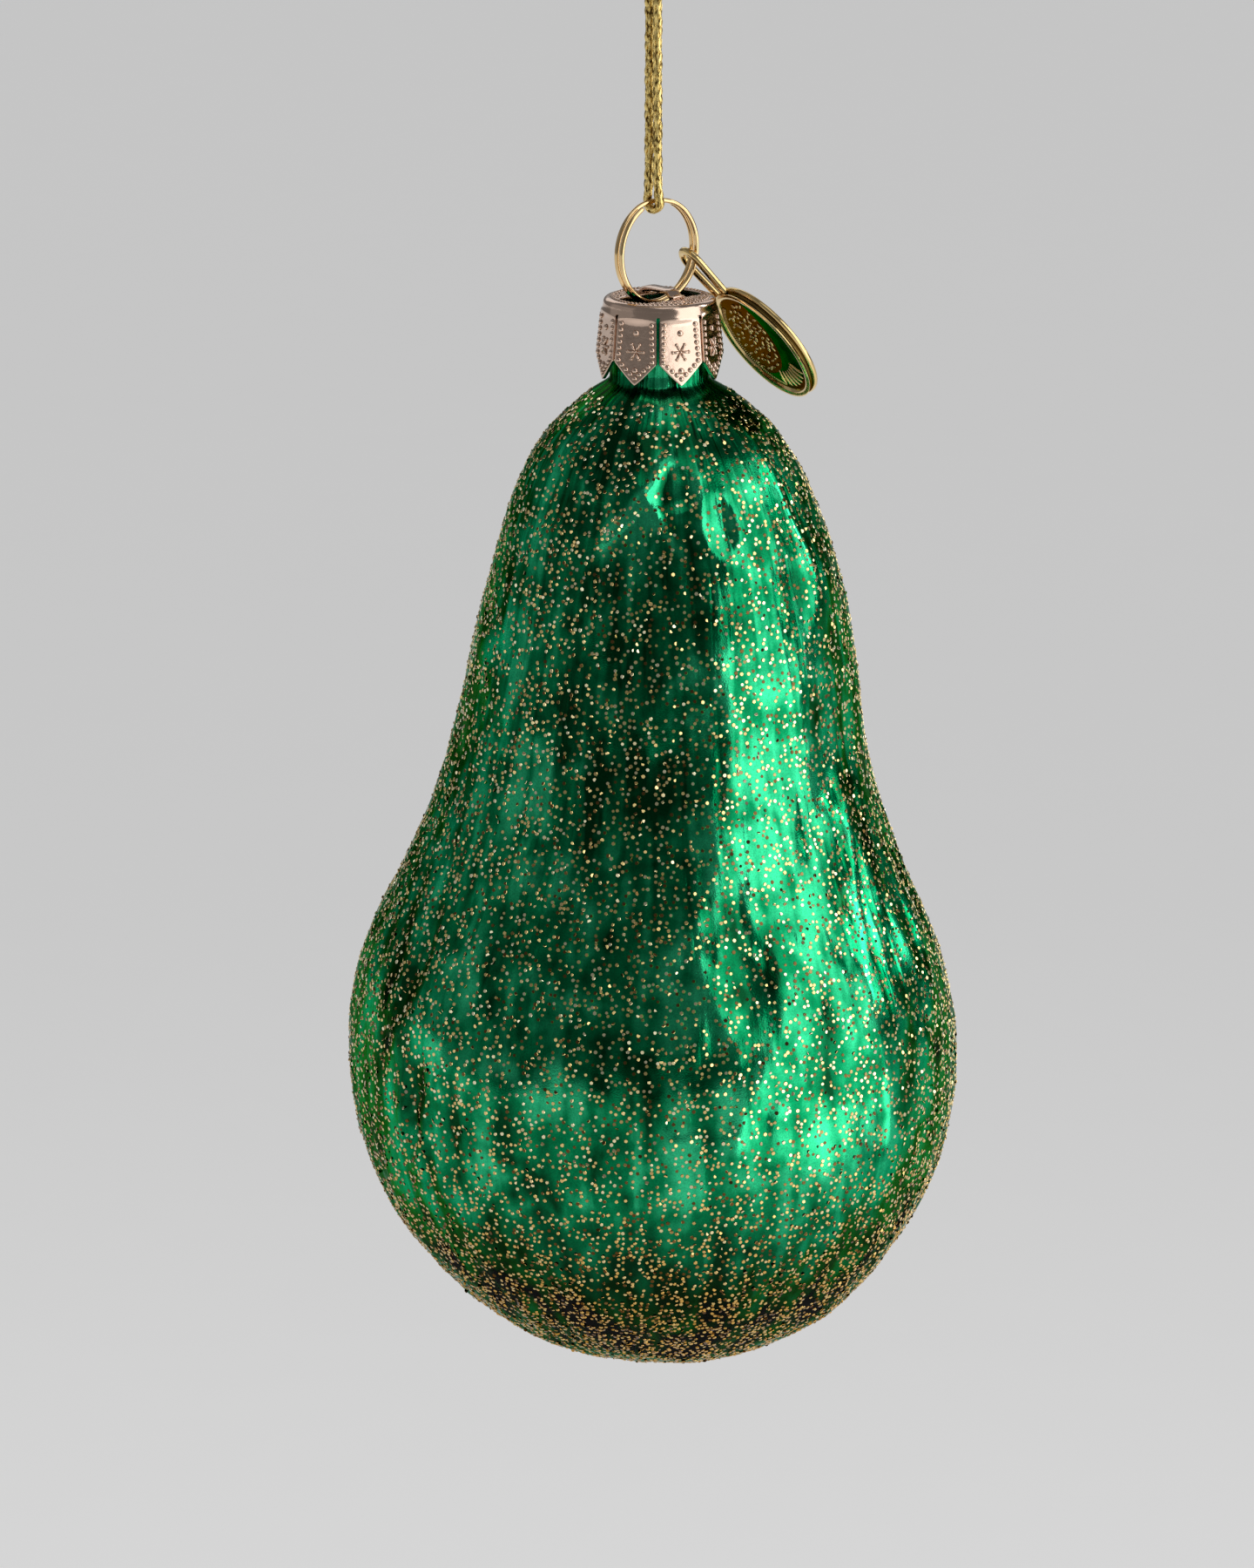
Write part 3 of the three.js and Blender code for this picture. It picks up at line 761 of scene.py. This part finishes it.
def scattered(proto, name, material, places, painted_light_tones):
    """One piece that repeats a flake at many places. A flake painted dark keeps a painted highlight round
    its foot.
    """
    raised = np.array([vert.co.z > 0 for vert in proto.verts])
    # Painted highlight: the base corners never fall below a middling tone
    levels = np.where(raised, painted_light_tones[:, None], np.maximum(painted_light_tones[:, None], 0.6))
    return linked(name, repeated(proto, name, places, "tone", levels.ravel()), material)


def flake_foil(sizes):
    """Gold foil, its tone drawn at random from flake to flake: partly the foil's own tone, partly painted
    light, with painted shade on the darkest flakes and painted highlights on the palest, and browner
    towards the bottom as painted shade.
    """
    material, tree, coords = new_material("gold_glitter")
    stops = [(0.22, sizes.painted_shade_gold), (0.34, sizes.deep), (0.62, sizes.deep), (0.95, sizes.pale)]
    colour = ramp(tree, attribute(tree, "tone"), stops)
    # Painted shade: the flakes turn browner towards the bottom of the bulb
    low = span(tree, height_at(tree, coords), GLASS_LOW.z + 6 * MM, GLASS_LOW.z + 42 * MM, 1.0, 0.0)
    colour = blend(tree, low, colour, blend(tree, 1.0, colour, (0.56, 0.40, 0.17), "MULTIPLY"))
    surface(tree, {"Base Color": colour, "Metallic": 1.0, "Roughness": 0.15})
    return material


# Cap

def hole_edge(turn):
    """Distance from the middle to the edge of the opening in that direction."""
    along_x = abs(math.cos(turn)) / HOLE_REACH
    along_y = abs(math.sin(turn)) / HOLE_HALF_WIDTH
    return (along_x**4 + along_y**4) ** -0.25


def petal_point(turn, depth):
    """A point of the petals' outer face, for an angle in degrees and a depth below the plate."""
    away = (turn % PETAL_SECTOR) - PETAL_SECTOR / 2
    slope = (CAP_TIP_RADIUS - CAP_RIM_RADIUS) / (CAP_HEIGHT - CAP_EDGE_ROUND)
    radius = CAP_RIM_RADIUS + slope * (depth - CAP_EDGE_ROUND)
    flat = PETAL_FLATNESS * smoothstep(SLOT_TOP - 0.1 * MM, SLOT_TOP + 0.9 * MM, depth)
    radius *= 1 + flat * (math.cos(PETAL_FLAT_TURN) / math.cos(math.radians(away)) - 1)
    lip = (depth - LIP_DEPTH) / LIP_WIDTH
    radius += LIP_HEIGHT * math.exp(-lip * lip)
    return on_circle(radius, math.radians(turn), -depth)


def cap_shell():
    """Plate, rounded edge and petals in one sheet, whose columns between two petals are left out."""
    edge_radius = CAP_RIM_RADIUS - CAP_EDGE_ROUND
    rows = [(radius * MM, 0.0) for radius in (2.0, 2.05, 2.3, 2.8, 3.4, 4.0, 4.6)] + [(edge_radius, 0.0)]
    for angle in np.linspace(90, 0, 8)[1:]:
        turn = math.radians(angle)
        rows.append((
            edge_radius + CAP_EDGE_ROUND * math.cos(turn), CAP_EDGE_ROUND * (math.sin(turn) - 1)
        ))
    rows += [(CAP_RIM_RADIUS, -depth) for depth in np.linspace(CAP_EDGE_ROUND, SLOT_TOP, 6)[1:]]
    rows += [(CAP_RIM_RADIUS, -depth) for depth in np.linspace(SLOT_TOP, CAP_HEIGHT, 34)[1:]]
    columns = PETALS * COLUMNS_PER_PETAL
    bm = turned(rows, columns)
    step = 360 / columns
    gone = []
    for face in bm.faces:
        middle = face.calc_center_median()
        turn = math.degrees(math.atan2(middle.y, middle.x)) % PETAL_SECTOR
        if middle.z < -SLOT_TOP and min(turn, PETAL_SECTOR - turn) < step:
            gone.append(face)
    bmesh.ops.delete(bm, geom=gone, context="FACES")
    inner, outer = rows[0][0], edge_radius
    for vert in bm.verts:
        turn = math.atan2(vert.co.y, vert.co.x)
        if vert.co.z > -1e-7:
            share = (math.hypot(vert.co.x, vert.co.y) - inner) / (outer - inner)
            edge = hole_edge(turn)
            radius = edge + (outer - edge) * share
            dip = 0.16 * MM if share < 1e-4 else 0.05 * MM if share < 0.03 else 0.0
            vert.co = on_circle(radius, turn, -dip)
        elif -vert.co.z > CAP_EDGE_ROUND:
            degrees = math.degrees(turn)
            away = abs((degrees % PETAL_SECTOR) - PETAL_SECTOR / 2) / (PETAL_SECTOR / 2 - step)
            end = CAP_HEIGHT - (CAP_HEIGHT - PETAL_SHOULDER) * min(1.0, away) ** 1.15
            depth = -vert.co.z
            if depth > SLOT_TOP:
                depth = SLOT_TOP + (depth - SLOT_TOP) * (end - SLOT_TOP) / (CAP_HEIGHT - SLOT_TOP)
            vert.co = petal_point(degrees, depth)
    bmesh.ops.translate(bm, vec=CAP_TOP, verts=bm.verts)
    bm.normal_update()
    return bm


def cap_bridge():
    """The strap over the ring, raised from the plate."""
    bm = bmesh.new()
    bmesh.ops.create_grid(bm, x_segments=4, y_segments=36, size=1)
    foot = HOLE_HALF_WIDTH + BRIDGE_FOOT
    top = BRIDGE_UNDER + CAP_SHEET
    for vert in bm.verts:
        y = vert.co.y * foot
        rise = 1 - smoothstep(HOLE_HALF_WIDTH - BRIDGE_SLOPE, HOLE_HALF_WIDTH + 0.1 * MM, abs(y))
        sag = 0.04 * MM * vert.co.x**2
        z = 0.04 * MM + (top - 0.04 * MM) * rise - sag
        vert.co = CAP_TOP + Vector((vert.co.x * BRIDGE_WIDTH / 2, y, z))
    bmesh.ops.recalc_face_normals(bm, faces=bm.faces)
    return bm


def petal_place(turn, depth):
    """A matrix on the petal's face: X across, Y down, Z out."""
    here = petal_point(turn, depth)
    down = (petal_point(turn, depth + 0.1 * MM) - here).normalized()
    across = petal_point(turn + 1, depth) - here
    out = across.cross(down).normalized()
    if out.dot(here) < 0:
        out.negate()
    turn_to = Matrix((down.cross(out), down, out)).transposed().to_4x4()
    return Matrix.Translation(CAP_TOP + here) @ turn_to


def bead_line(pitch):
    """Places down one side of a petal to its tip: distance from its middle, and depth."""
    line = smooth_curve([(1.62, 1.95), (1.66, 3.6), (1.74, 5.3), (1.50, 5.95), (0.0, 7.40)], 60) * MM
    reach = np.concatenate([[0], np.cumsum(np.linalg.norm(np.diff(line, axis=0), axis=1))])
    at = np.linspace(0, reach[-1], int(round(reach[-1] / pitch)) + 1)
    return [(np.interp(s, reach, line[:, 0]), np.interp(s, reach, line[:, 1])) for s in at]


def cap_stamping(sizes):
    """Raised beads, six-armed stars and dots on the petals, and a ring of beads and grains on the plate."""
    marks = []
    half = sizes.bead / 2
    line = bead_line(sizes.bead_pitch)
    for petal in range(PETALS):
        middle = (petal + 0.5) * PETAL_SECTOR
        for k, (away, depth) in enumerate(line):
            for side in (1, -1) if k < len(line) - 1 else (1,):
                turn = middle + side * math.degrees(away / CAP_RIM_RADIUS)
                stud(marks, petal_place(turn, depth), half, half, 0.8 * half)
        for depth in (2.8 * MM, 6.6 * MM):
            stud(marks, petal_place(middle, depth), 0.34 * MM, 0.34 * MM, 0.24 * MM)
        star = petal_place(middle, STAR_DEPTH)
        stud(marks, star, 0.17 * MM, 0.17 * MM, 0.2 * MM)
        for arm in range(6):
            turn = star @ Matrix.Rotation(math.radians(60 * arm + 30), 4, "Z")
            stud(marks, turn @ Matrix.Translation((0, 0.50 * MM, 0)), 0.16 * MM, 0.42 * MM, 0.26 * MM)
            stud(marks, turn @ Matrix.Translation((0, 0.88 * MM, 0)), 0.2 * MM, 0.17 * MM, 0.2 * MM)
    for k in range(PLATE_BEADS):
        place = Matrix.Translation(CAP_TOP + on_circle(PLATE_BEAD_RADIUS, 2 * math.pi * k / PLATE_BEADS))
        stud(marks, place, 0.21 * MM, 0.21 * MM, 0.15 * MM)
    draws = np.random.default_rng(3)
    for _ in range(PLATE_GRAINS):
        turn, radius = draws.uniform(0, 2 * math.pi), draws.uniform(2.4, 4.6) * MM
        if radius < hole_edge(turn) + 0.25 * MM:
            continue
        place = Matrix.Translation(CAP_TOP + on_circle(radius, turn))
        half = draws.uniform(0.10, 0.19) * MM
        stud(marks, place, half, half * draws.uniform(0.7, 1.3), 0.11 * MM)
    return studs(marks, 0.8)


# Split ring

def ring_point(angle):
    """A point of the wire's middle: two flat turns with one crossing at the top."""
    crossing = smoothstep(450 - CROSSING_HALF_ANGLE, 450 + CROSSING_HALF_ANGLE, angle)
    turn = math.radians(angle)
    out = Vector((math.cos(turn), 0, math.sin(turn)))
    return RING_CENTRE + out * RING_RADIUS + Vector((0, (crossing - 0.5) * TURN_PITCH, 0)), out


def split_ring(sizes):
    """The wire with its rounded ends."""
    start, end = 90 + CROSSING_HALF_ANGLE, 810 - CROSSING_HALF_ANGLE
    rounding = [(0.0, 0.35), (0.25, 0.72), (0.9, 0.93), (2.0, 1.0)]
    stations = [(start + angle, size) for angle, size in rounding]
    stations += [(angle, 1.0) for angle in np.linspace(start + 4, end - 4, 230)]
    stations += [(end - angle, size) for angle, size in reversed(rounding)]
    places = []
    for angle, size in stations:
        point, out = ring_point(angle)
        ahead = ring_point(angle + 0.2)[0] - ring_point(angle - 0.2)[0]
        places.append(placed(point, ahead, out) @ Matrix.Diagonal((size, size, 1, 1)))
    return sweep(places, 16, sizes.wire, sizes.wire)


# Tag

def tag_place():
    """The tag's own frame on the ring."""
    hook = Vector((math.cos(TAG_HOOK_ANGLE), 0, math.sin(TAG_HOOK_ANGLE))) * RING_RADIUS
    slope = TAG_CENTRE_FROM_RING - hook
    slope = (slope - slope.dot(TAG_UPPER_NORMAL) * TAG_UPPER_NORMAL).normalized()
    across = (-slope).cross(TAG_UPPER_NORMAL)
    turn = Matrix((across, -slope, TAG_UPPER_NORMAL)).transposed().to_4x4()
    return Matrix.Translation(RING_CENTRE + hook + slope * TAG_EYE_DISTANCE) @ turn


def tag_disc():
    """Medallion in section: a sunk face, a front ridge, a groove round the wall and a back bead."""
    bm = turned([(radius * MM, z * MM) for radius, z in TAG_SECTION], 128)
    # The sunk face and the groove get the second, darker finish: partly darker plating, partly painted
    # shade
    for face in bm.faces:
        middle = face.calc_center_median() / MM
        radius = math.hypot(middle.x, middle.y)
        sunk = radius < 5.95 and middle.z < 0
        groove = radius > 6.4 and -0.44 < middle.z < 0.05
        face.material_index = 1 if sunk or groove else 0
    return bm


def tag_eye():
    """The teardrop loop, from one side of the rim over the ring to the other."""
    turn = np.linspace(0, math.pi, 21)
    top = [(1.46 * math.cos(a), 11.0 + 1.46 * math.sin(a)) for a in turn]
    side = [(1.14, 6.5), (1.22, 7.8), (1.32, 9.2), (1.41, 10.3)]
    line = [*side, *top, *((-x, y) for x, y in reversed(side))]
    line = smooth_curve([(x * MM, y * MM, 0) for x, y in line], 64)
    places = [placed(point, ahead_of(line, k), (0, 0, 1)) for k, point in enumerate(line)]
    return sweep(places, 14, 0.86 * MM, 0.8 * MM)


def tag_relief():
    """Flutes at the low end, reeds round the edge and a field of small strokes."""
    marks, taken = [], []
    for k in range(RAYS):
        turn = Matrix.Rotation(math.radians(-180 + RAY_STEP * (k - RAYS // 2)), 4, "Z")
        stud(marks, turn @ Matrix.Translation((0, 4.6 * MM, TAG_FACE)), 0.14 * MM, 1.1 * MM, 0.28 * MM)
    for k in range(REEDS):
        turn = Matrix.Rotation(math.radians(-20 - REED_STEP * k), 4, "Z")
        stud(marks, turn @ Matrix.Translation((0, 5.62 * MM, TAG_FACE)), 0.085 * MM, 0.22 * MM, 0.13 * MM)
    draws = np.random.default_rng(5)
    for _ in range(STROKE_TRIES):
        x, y = draws.uniform(-5.2, 5.2, 2)
        in_field = math.hypot(x, y) < 5.1 and math.hypot(x - 2.26, y - 2.26) < 5.1 and y > -2.6
        if in_field and all(math.hypot(x - a, y - b) > STROKE_SPACING for a, b in taken):
            taken.append((x, y))
            turn = Matrix.Rotation(draws.uniform(0, math.pi), 4, "Z")
            place = Matrix.Translation((x * MM, y * MM, TAG_FACE)) @ turn
            stud(marks, place, draws.uniform(0.11, 0.17) * MM, draws.uniform(0.2, 0.4) * MM, 0.18 * MM)
    return studs(marks, 0.2)


def glossy_enamel(sizes):
    """Clear green enamel over metal."""
    material, tree, coords = new_material("green_enamel")
    cloud = noise_at(tree, coords, 1.2 * MM, 2.0)
    bright = [min(1.0, 2.6 * level + 0.01) for level in sizes.enamel]
    surface(tree, {
        "Base Color": ramp(tree, cloud, [(0.35, sizes.enamel), (0.75, bright)]),
        "Metallic": 1.0,
        "Specular Tint": (0.1, 0.5, 0.18),
        "Roughness": span(tree, cloud, 0.3, 0.7, 0.16, 0.24),
    })
    return material


# Cord

def braid(points, outward, sizes):
    """A round braid along a line: threads that wind both ways over a core, over one and under one."""
    places = along(points, outward)
    steps = [(b.translation - a.translation).length for a, b in zip(places, places[1:])]
    reach = np.concatenate([[0], np.cumsum(steps)])
    thread_wide, thread_high = 0.32 * sizes.diameter, 0.19 * sizes.diameter
    wave = 0.055 * sizes.diameter
    middle = sizes.diameter / 2 - thread_high / 2 - wave
    parts = [sweep(places, 8, 2 * middle - 0.04 * MM, 2 * middle - 0.04 * MM)]
    for way in (1, -1):
        for thread in range(sizes.threads):
            own = []
            for place, s in zip(places, reach):
                turn = 2 * math.pi * (way * s / sizes.lay + (thread + 0.25 * (1 - way)) / sizes.threads)
                over = way * math.cos(2 * math.pi * sizes.threads * s / sizes.lay + math.pi * thread)
                out = Vector((math.cos(turn), math.sin(turn), 0))
                own.append((place @ (out * (middle + wave * over)), place.to_3x3() @ out))
            points = [point for point, out in own]
            line = [placed(point, ahead_of(points, k), out) for k, (point, out) in enumerate(own)]
            parts.append(sweep(line, 6, thread_wide, thread_high))
    return joined(parts)


def cord_route():
    """The doubled cord from the knot round the ring and back, in metres."""
    down = [(0, -y * MM, z * MM) for y, z in CORD_ROUTE]
    up = [(0, y * MM, z * MM) for y, z in reversed(CORD_ROUTE[:-1])]
    return smooth_curve([*down, *up], 240)


def knot(sizes):
    """A stopper knot: the cord wound round its own two strands, which end in two tails."""
    centre = (KNOT_LOW.z + KNOT_HIGH.z) / 2
    low = KNOT_LOW.z
    coil = []
    for share in np.linspace(0, 1, 60):
        turn = 2 * math.pi * KNOT_TURNS * share
        radius = (0.72 + 0.55 * math.sin(math.pi * share) ** 0.5) * MM
        coil.append((radius * math.cos(turn), radius * math.sin(turn), low + (0.55 + 2.9 * share) * MM))
    parts = [braid(smooth_curve(coil, 130), (0, 0, 1), sizes)]
    for side in (1, -1):
        leg = [(0, side * 0.7 * MM, low - 0.2 * MM), (0, side * 0.45 * MM, low + 1.0 * MM), (0, 0, centre)]
        parts.append(braid(smooth_curve(leg, 16), (1, 0, 0), sizes))
        tip = Vector((side * math.sin(math.radians(32)), 0, math.cos(math.radians(32)))) * 3.3 * MM
        root = Vector((0, 0, low + 2.1 * MM))
        parts.append(braid(smooth_curve([root, root + tip * 0.5, root + tip], 20), (0, 1, 0), sizes))
    return joined(parts)


def gold_thread(sizes):
    """Metallic thread, flecked at random by noise from dark brown painted shade through gold to pale
    painted highlights.
    """
    material, tree, coords = new_material("metallic_thread")
    drawn = vector_maths(tree, "MULTIPLY", {0: coords, 1: (1.0, 1.0, 0.4)})
    fleck = noise_at(tree, drawn, 0.3 * MM, 2.0)
    # Painted light: the dark brown stop is painted shade between threads and the pale stop a painted
    # highlight
    pale = [min(1.0, 1.12 * level + 0.06) for level in sizes.colour]
    tone = ramp(tree, fleck, [(0.36, (0.13, 0.07, 0.015)), (0.48, sizes.colour), (0.62, pale)])
    fine = noise_at(tree, coords, 0.09 * MM, 2.0)
    surface(tree, {
        "Base Color": tone,
        "Metallic": 1.0,
        "Roughness": span(tree, fine, 0.3, 0.7, 0.2, 0.36),
        "Normal": relief(tree, fine, 0.03 * MM),
    })
    return material


# Stage

def look_at(place, aim):
    """A matrix at a place whose -Z looks at the aim."""
    return Matrix.Translation(place) @ (aim - place).to_track_quat("-Z", "Y").to_matrix().to_4x4()


def softbox(name, turn, height, distance, width, tall, radiance):
    """A rectangular light of that radiance, in a direction round the object, that looks at the aim."""
    lamp = bpy.data.lights.new(name, "AREA")
    lamp.shape = "RECTANGLE"
    lamp.size, lamp.size_y = width, tall
    lamp.energy = radiance * math.pi * width * tall
    box = bpy.data.objects.new(name, lamp)
    direction = on_circle(1, math.radians(turn), height).normalized()
    box.matrix_world = look_at(AIM + direction * distance, AIM)
    box.visible_camera = False
    bpy.context.scene.collection.objects.link(box)


def pale_floor(sizes):
    """A pale floor that shows its own colour to the camera and to bright surfaces, and keeps shadows."""
    material, tree, coords = new_material("pale_floor")
    rays = put(tree, "LightPath").outputs
    seen = maths(tree, "MAXIMUM", rays["Is Camera Ray"], rays["Is Glossy Ray"])
    seen = maths(tree, "MAXIMUM", seen, rays["Is Transmission Ray"])
    glow = maths(tree, "MULTIPLY", seen, FLOOR_GLOW)
    speck = noise_at(tree, coords, 0.03, 3.0)
    tone = ramp(tree, speck, [(0.3, [0.985 * level for level in sizes.floor]), (0.7, sizes.floor)])
    surface(tree, {
        "Base Color": tone,
        "Roughness": 0.85,
        "Emission Color": (1.0, 1.0, 1.0),
        "Emission Strength": glow,
    })
    return material


class ORNAMENT_OT_stage(bpy.types.Operator):
    """Sets up the camera, the lights and the pale floor"""

    bl_idname = "ornament.stage"
    bl_label = "Stage"

    def execute(self, context):
        sizes = context.scene.ornament_stage
        scene = context.scene
        scene.view_settings.view_transform = "Standard"
        around, rise = sizes.azimuth, sizes.elevation
        flat = math.cos(rise)
        back = Vector((math.sin(around) * flat, -math.cos(around) * flat, math.sin(rise)))
        lens = bpy.data.cameras.new("camera")
        lens.lens = LENS_MM
        lens.sensor_width = SENSOR_MM
        lens.clip_start = 0.01
        camera = bpy.data.objects.new("camera", lens)
        camera.matrix_world = look_at(AIM + back * sizes.distance, AIM)
        scene.collection.objects.link(camera)
        scene.camera = camera

        world = bpy.data.worlds.new("room")
        world.use_nodes = True
        tree = world.node_tree
        tree.nodes.clear()
        sky = put(tree, "Background", {"Color": (1.0, 1.0, 1.0), "Strength": sizes.sky})
        put(tree, "OutputWorld", {"Surface": sky.outputs["Background"]})
        scene.world = world
        softbox("key_light", -70.5, 0.20, 0.85, 0.82, 1.4, sizes.key)
        softbox("strip_light", -27, 0.38, 0.85, 0.2, 0.5, sizes.strip)
        softbox("fill_light", 140, 0.15, 1.1, 1.3, 1.2, sizes.fill)
        softbox("top_light", -100, 3.0, 1.3, 0.8, 0.8, 0.6)
        softbox("back_light", 47, 0.55, 1.4, 1.6, 0.7, 0.7)

        bm = bmesh.new()
        bmesh.ops.create_grid(bm, x_segments=8, y_segments=8, size=FLOOR_HALF_WIDTH)
        bmesh.ops.translate(bm, vec=(0, 0, GLASS_LOW.z - sizes.drop), verts=bm.verts)
        finished(bm, "floor", pale_floor(sizes))
        return {"FINISHED"}


class ORNAMENT_OT_cord(bpy.types.Operator):
    """Makes the doubled braid and its knot"""

    bl_idname = "ornament.cord"
    bl_label = "Cord and knot"

    def execute(self, context):
        sizes = context.scene.ornament_cord
        thread = gold_thread(sizes)
        tied = finished(knot(sizes), "stopper_knot", thread, math.radians(60))
        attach(tied, "cord")
        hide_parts("cord_knot")
        route = cord_route()
        cord = finished(braid(route, (1, 0, 0), sizes), "braided_cord", thread, math.radians(60))
        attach(cord, "cord")
        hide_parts("hanging_cord")
        return {"FINISHED"}


class ORNAMENT_OT_glass(bpy.types.Operator):
    """Makes the blown glass body"""

    bl_idname = "ornament.glass"
    bl_label = "Glass"

    def execute(self, context):
        sizes = context.scene.ornament_glass
        body = finished(blown_body(sizes), "blown_glass", lacquer(sizes), math.radians(50))
        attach(body, "ornament")
        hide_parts("glass_body")
        return {"FINISHED"}


class ORNAMENT_OT_glitter(bpy.types.Operator):
    """Scatters the gold flakes on the glass"""

    bl_idname = "ornament.glitter"
    bl_label = "Glitter"

    def execute(self, context):
        sizes = context.scene.ornament_glitter
        body = bpy.data.objects.get("blown_glass")
        if body is None:
            raise RuntimeError("make the glass before the glitter")
        places, painted_light_tones = flake_places(sizes, body)
        proto = flake(sizes)
        foil = flake_foil(sizes)
        pieces = math.ceil(len(places) / FLAKES_PER_PIECE)
        for k in range(pieces):
            part = slice(k, None, pieces)
            piece = scattered(proto, f"glitter_{k + 1}", foil, places[part], painted_light_tones[part])
            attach(piece, "ornament")
        proto.free()
        return {"FINISHED"}


class ORNAMENT_OT_cap(bpy.types.Operator):
    """Makes the crown cap with its bridge and stamped beads, and finishes the spring inside it"""

    bl_idname = "ornament.cap"
    bl_label = "Cap"

    def execute(self, context):
        sizes = context.scene.ornament_cap
        rose = metal("rose_gold", sizes.colour, 0.15, 0.02, 0.5 * MM, 0.008 * MM)
        shell = finished(joined([cap_shell(), cap_bridge()]), "stamped_cap", rose, math.radians(60))
        wall = shell.modifiers.new("sheet", "SOLIDIFY")
        wall.thickness = CAP_SHEET
        wall.offset = -1
        edge = shell.modifiers.new("edge", "BEVEL")
        edge.width = 0.08 * MM
        edge.segments = 2
        edge.limit_method = "ANGLE"
        edge.angle_limit = math.radians(60)
        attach(shell, "ornament")
        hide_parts("crown_cap")
        beads = finished(cap_stamping(sizes), "cap_beads", rose)
        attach(beads, "ornament")
        steel = metal("spring_steel", (0.62, 0.60, 0.58), 0.32, 0.06, 0.3 * MM, 0.01 * MM)
        refinish("neck_spring", steel)
        return {"FINISHED"}


class ORNAMENT_OT_ring(bpy.types.Operator):
    """Makes the split ring"""

    bl_idname = "ornament.ring"
    bl_label = "Split ring"

    def execute(self, context):
        sizes = context.scene.ornament_ring
        gold = metal("ring_gold", sizes.colour, 0.11, 0.02, 1.0 * MM, 0.004 * MM)
        ring = finished(split_ring(sizes), "two_turn_ring", gold, math.radians(50))
        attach(ring, "ring")
        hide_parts("split_ring")
        return {"FINISHED"}


class ORNAMENT_OT_tag(bpy.types.Operator):
    """Makes the round tag and finishes its enamel"""

    bl_idname = "ornament.tag"
    bl_label = "Tag"

    def execute(self, context):
        sizes = context.scene.ornament_tag
        gold = metal("tag_gold", sizes.colour, 0.12, 0.03, 0.8 * MM, 0.006 * MM)
        bm = joined([tag_disc(), tag_eye(), tag_relief()])
        bmesh.ops.transform(bm, matrix=tag_place(), verts=bm.verts)
        tag = finished(bm, "medallion", gold, math.radians(40))
        # Partly darker plating, partly painted shade in the sunk face and the groove
        recess = metal("tag_recess", sizes.shade, 0.22, 0.05, 0.3 * MM, 0.02 * MM, (0.4, 0.3, 0.12))
        tag.data.materials.append(recess)
        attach(tag, "tag")
        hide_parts("tag_plate")
        refinish("tag_enamel", glossy_enamel(sizes))
        return {"FINISHED"}


class ORNAMENT_PT_panel(bpy.types.Panel):
    """Lists the steps that dress the frame"""

    bl_label = "Ornament"
    bl_space_type = "VIEW_3D"
    bl_region_type = "UI"
    bl_category = "Ornament"

    def draw(self, context):
        for step in STEPS:
            self.layout.operator(step.bl_idname)


SIZES = {
    "ornament_glass": OrnamentGlass,
    "ornament_glitter": OrnamentGlitter,
    "ornament_cap": OrnamentCap,
    "ornament_ring": OrnamentRing,
    "ornament_tag": OrnamentTag,
    "ornament_cord": OrnamentCord,
    "ornament_stage": OrnamentStage,
}
STEPS = (
    ORNAMENT_OT_stage, ORNAMENT_OT_cord, ORNAMENT_OT_glass, ORNAMENT_OT_glitter, ORNAMENT_OT_cap,
    ORNAMENT_OT_ring, ORNAMENT_OT_tag,
)


def register():
    for kind in (*SIZES.values(), *STEPS, ORNAMENT_PT_panel):
        bpy.utils.register_class(kind)
    for name, kind in SIZES.items():
        setattr(bpy.types.Scene, name, PointerProperty(type=kind))


def unregister():
    for name in SIZES:
        delattr(bpy.types.Scene, name)
    for kind in (ORNAMENT_PT_panel, *STEPS, *SIZES.values()):
        bpy.utils.unregister_class(kind)


def main():
    register()
    bpy.ops.ornament.stage()
    bpy.ops.ornament.cord()
    bpy.ops.ornament.glass()
    bpy.ops.ornament.glitter()
    bpy.ops.ornament.cap()
    bpy.ops.ornament.ring()
    bpy.ops.ornament.tag()


if __name__ == "__main__":
    main()
